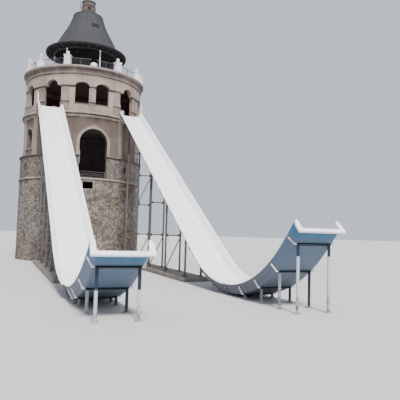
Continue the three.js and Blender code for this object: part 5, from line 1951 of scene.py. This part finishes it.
@dataclass(frozen=True)
class Viewpoint:
    """Where the photo was taken from, and the way the camera looks.

    Attributes:
        place: Position in the part's frame, in metres.
        yaw: Degrees right of straight ahead.
        pitch: Degrees upwards.
        roll: Degrees the picture leans.
        lens: Focal length in millimetres on a 36 mm wide film.
    """

    place: tuple[float, float, float] = (-6.96, -33.791, 2.71)
    yaw: float = 22.22
    pitch: float = 4.02
    roll: float = -1.67
    lens: float = 43.605

    def build(self) -> None:
        """Adds the camera."""
        ahead, right = tilted(BACKWARDS, ACROSS, self.yaw)
        ahead, up = tilted(ahead, UP, self.pitch)
        right, up = tilted(right, up, -self.roll)
        data = bpy.data.cameras.new("photo_viewpoint")
        data.lens, data.sensor_width, data.clip_end = self.lens, 36.0, 2000.0
        axes = np.eye(4)
        axes[:3] = np.stack([right, up, -ahead, self.place], axis=1)
        camera = link_new("photo_viewpoint", data)
        camera.matrix_world = Matrix(axes.tolist())
        bpy.context.scene.camera = camera


def tilted(first: np.ndarray, second: np.ndarray, degrees: float) -> tuple[np.ndarray, np.ndarray]:
    """Turns two directions in their plane, the first towards the second."""
    cosine, sine = math.cos(math.radians(degrees)), math.sin(math.radians(degrees))
    return first * cosine + second * sine, second * cosine - first * sine


def link_new(name: str, data: bpy.types.ID) -> bpy.types.Object:
    """Puts a new object with this data into the scene."""
    made = bpy.data.objects.new(name, data)
    bpy.context.scene.collection.objects.link(made)
    return made


@dataclass(frozen=True)
class Studio:
    """Soft light from the front over a plain pale floor."""

    sun: float = 6.4
    sky: float = 1.25
    half_width: float = 600.0
    floor_level: float = -0.012

    def build(self) -> None:
        """Adds the sun, the pale world and the floor."""
        data = bpy.data.lights.new("soft_sun", "SUN")
        data.energy, data.angle, data.color = self.sun, math.radians(11), (1.0, 0.985, 0.965)
        link_new("soft_sun", data).rotation_euler = [math.radians(turn) for turn in (42, -8, 4)]
        sky = {"Color": linear("#c6cfdb"), "Strength": self.sky}
        world = bpy.data.worlds.new("pale_studio")
        bpy.context.scene.world = self.wired(world, "ShaderNodeBackground", "ShaderNodeOutputWorld", sky)
        half, level = self.half_width, self.floor_level
        corners = [(-half, -half, level), (half, -half, level), (half, half, level), (-half, half, level)]
        mesh = bpy.data.meshes.new("studio_floor")
        mesh.from_pydata(corners, [], [[0, 1, 2, 3]])
        # The floor's paper: pale and matt
        paper = bpy.data.materials.new("pale_studio_floor")
        matt = {"Base Color": linear("#c6c4c1"), "Roughness": 0.9}
        mesh.materials.append(self.wired(paper, "ShaderNodeBsdfPrincipled", "ShaderNodeOutputMaterial", matt))
        link_new("studio_floor", mesh)

    def wired(self, owner: bpy.types.ID, shader: str, output: str, inputs: dict) -> bpy.types.ID:
        """Gives a world or a material one shader and its output."""
        owner.use_nodes = True
        owner.node_tree.nodes.clear()
        made = add_node(owner.node_tree, shader, inputs)
        add_node(owner.node_tree, output, {"Surface": made.outputs[0]})
        return owner


def dress_kept_nodes() -> None:
    """Gives the part's floors, which stay as they are, their materials."""
    kept = {"door_floor": CONCRETE, "terrace_floor": CONCRETE, "belvedere_floor": CAST_STONE}
    for name, finish in kept.items():
        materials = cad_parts[name].data.materials
        materials.clear()
        materials.append(finish.material())
        LOG.info("%s keeps its solid", name)


def main() -> None:
    """Builds the tower, the chutes and their steelwork, then the camera and the light."""
    logging.basicConfig(level=logging.INFO, format="%(message)s")
    base = Base()
    for part in (base, Shaft(base.doorway), DoorGuard(base.doorway), Belvedere(), Terrace(), Roof()):
        part.build()
    left = ChuteLine("left", -3.56, 0.59, 8.6, math.radians(38), 0.0)
    right = ChuteLine("right", 3.56, 0.52, 6.8, math.radians(46), 0.9)
    slides = ((left, (0.27, 1.8, 3.4, 4.25), 0.94), (right, (0.3, 1.5, 2.85, 4.25), 2.02))
    for line, rows, dark_above in slides:
        Chute(line, rows).build()
        Steelwork(line, rows, dark_above).build()
    dress_kept_nodes()
    Viewpoint().build()
    Studio().build()


if __name__ == "__main__":
    main()
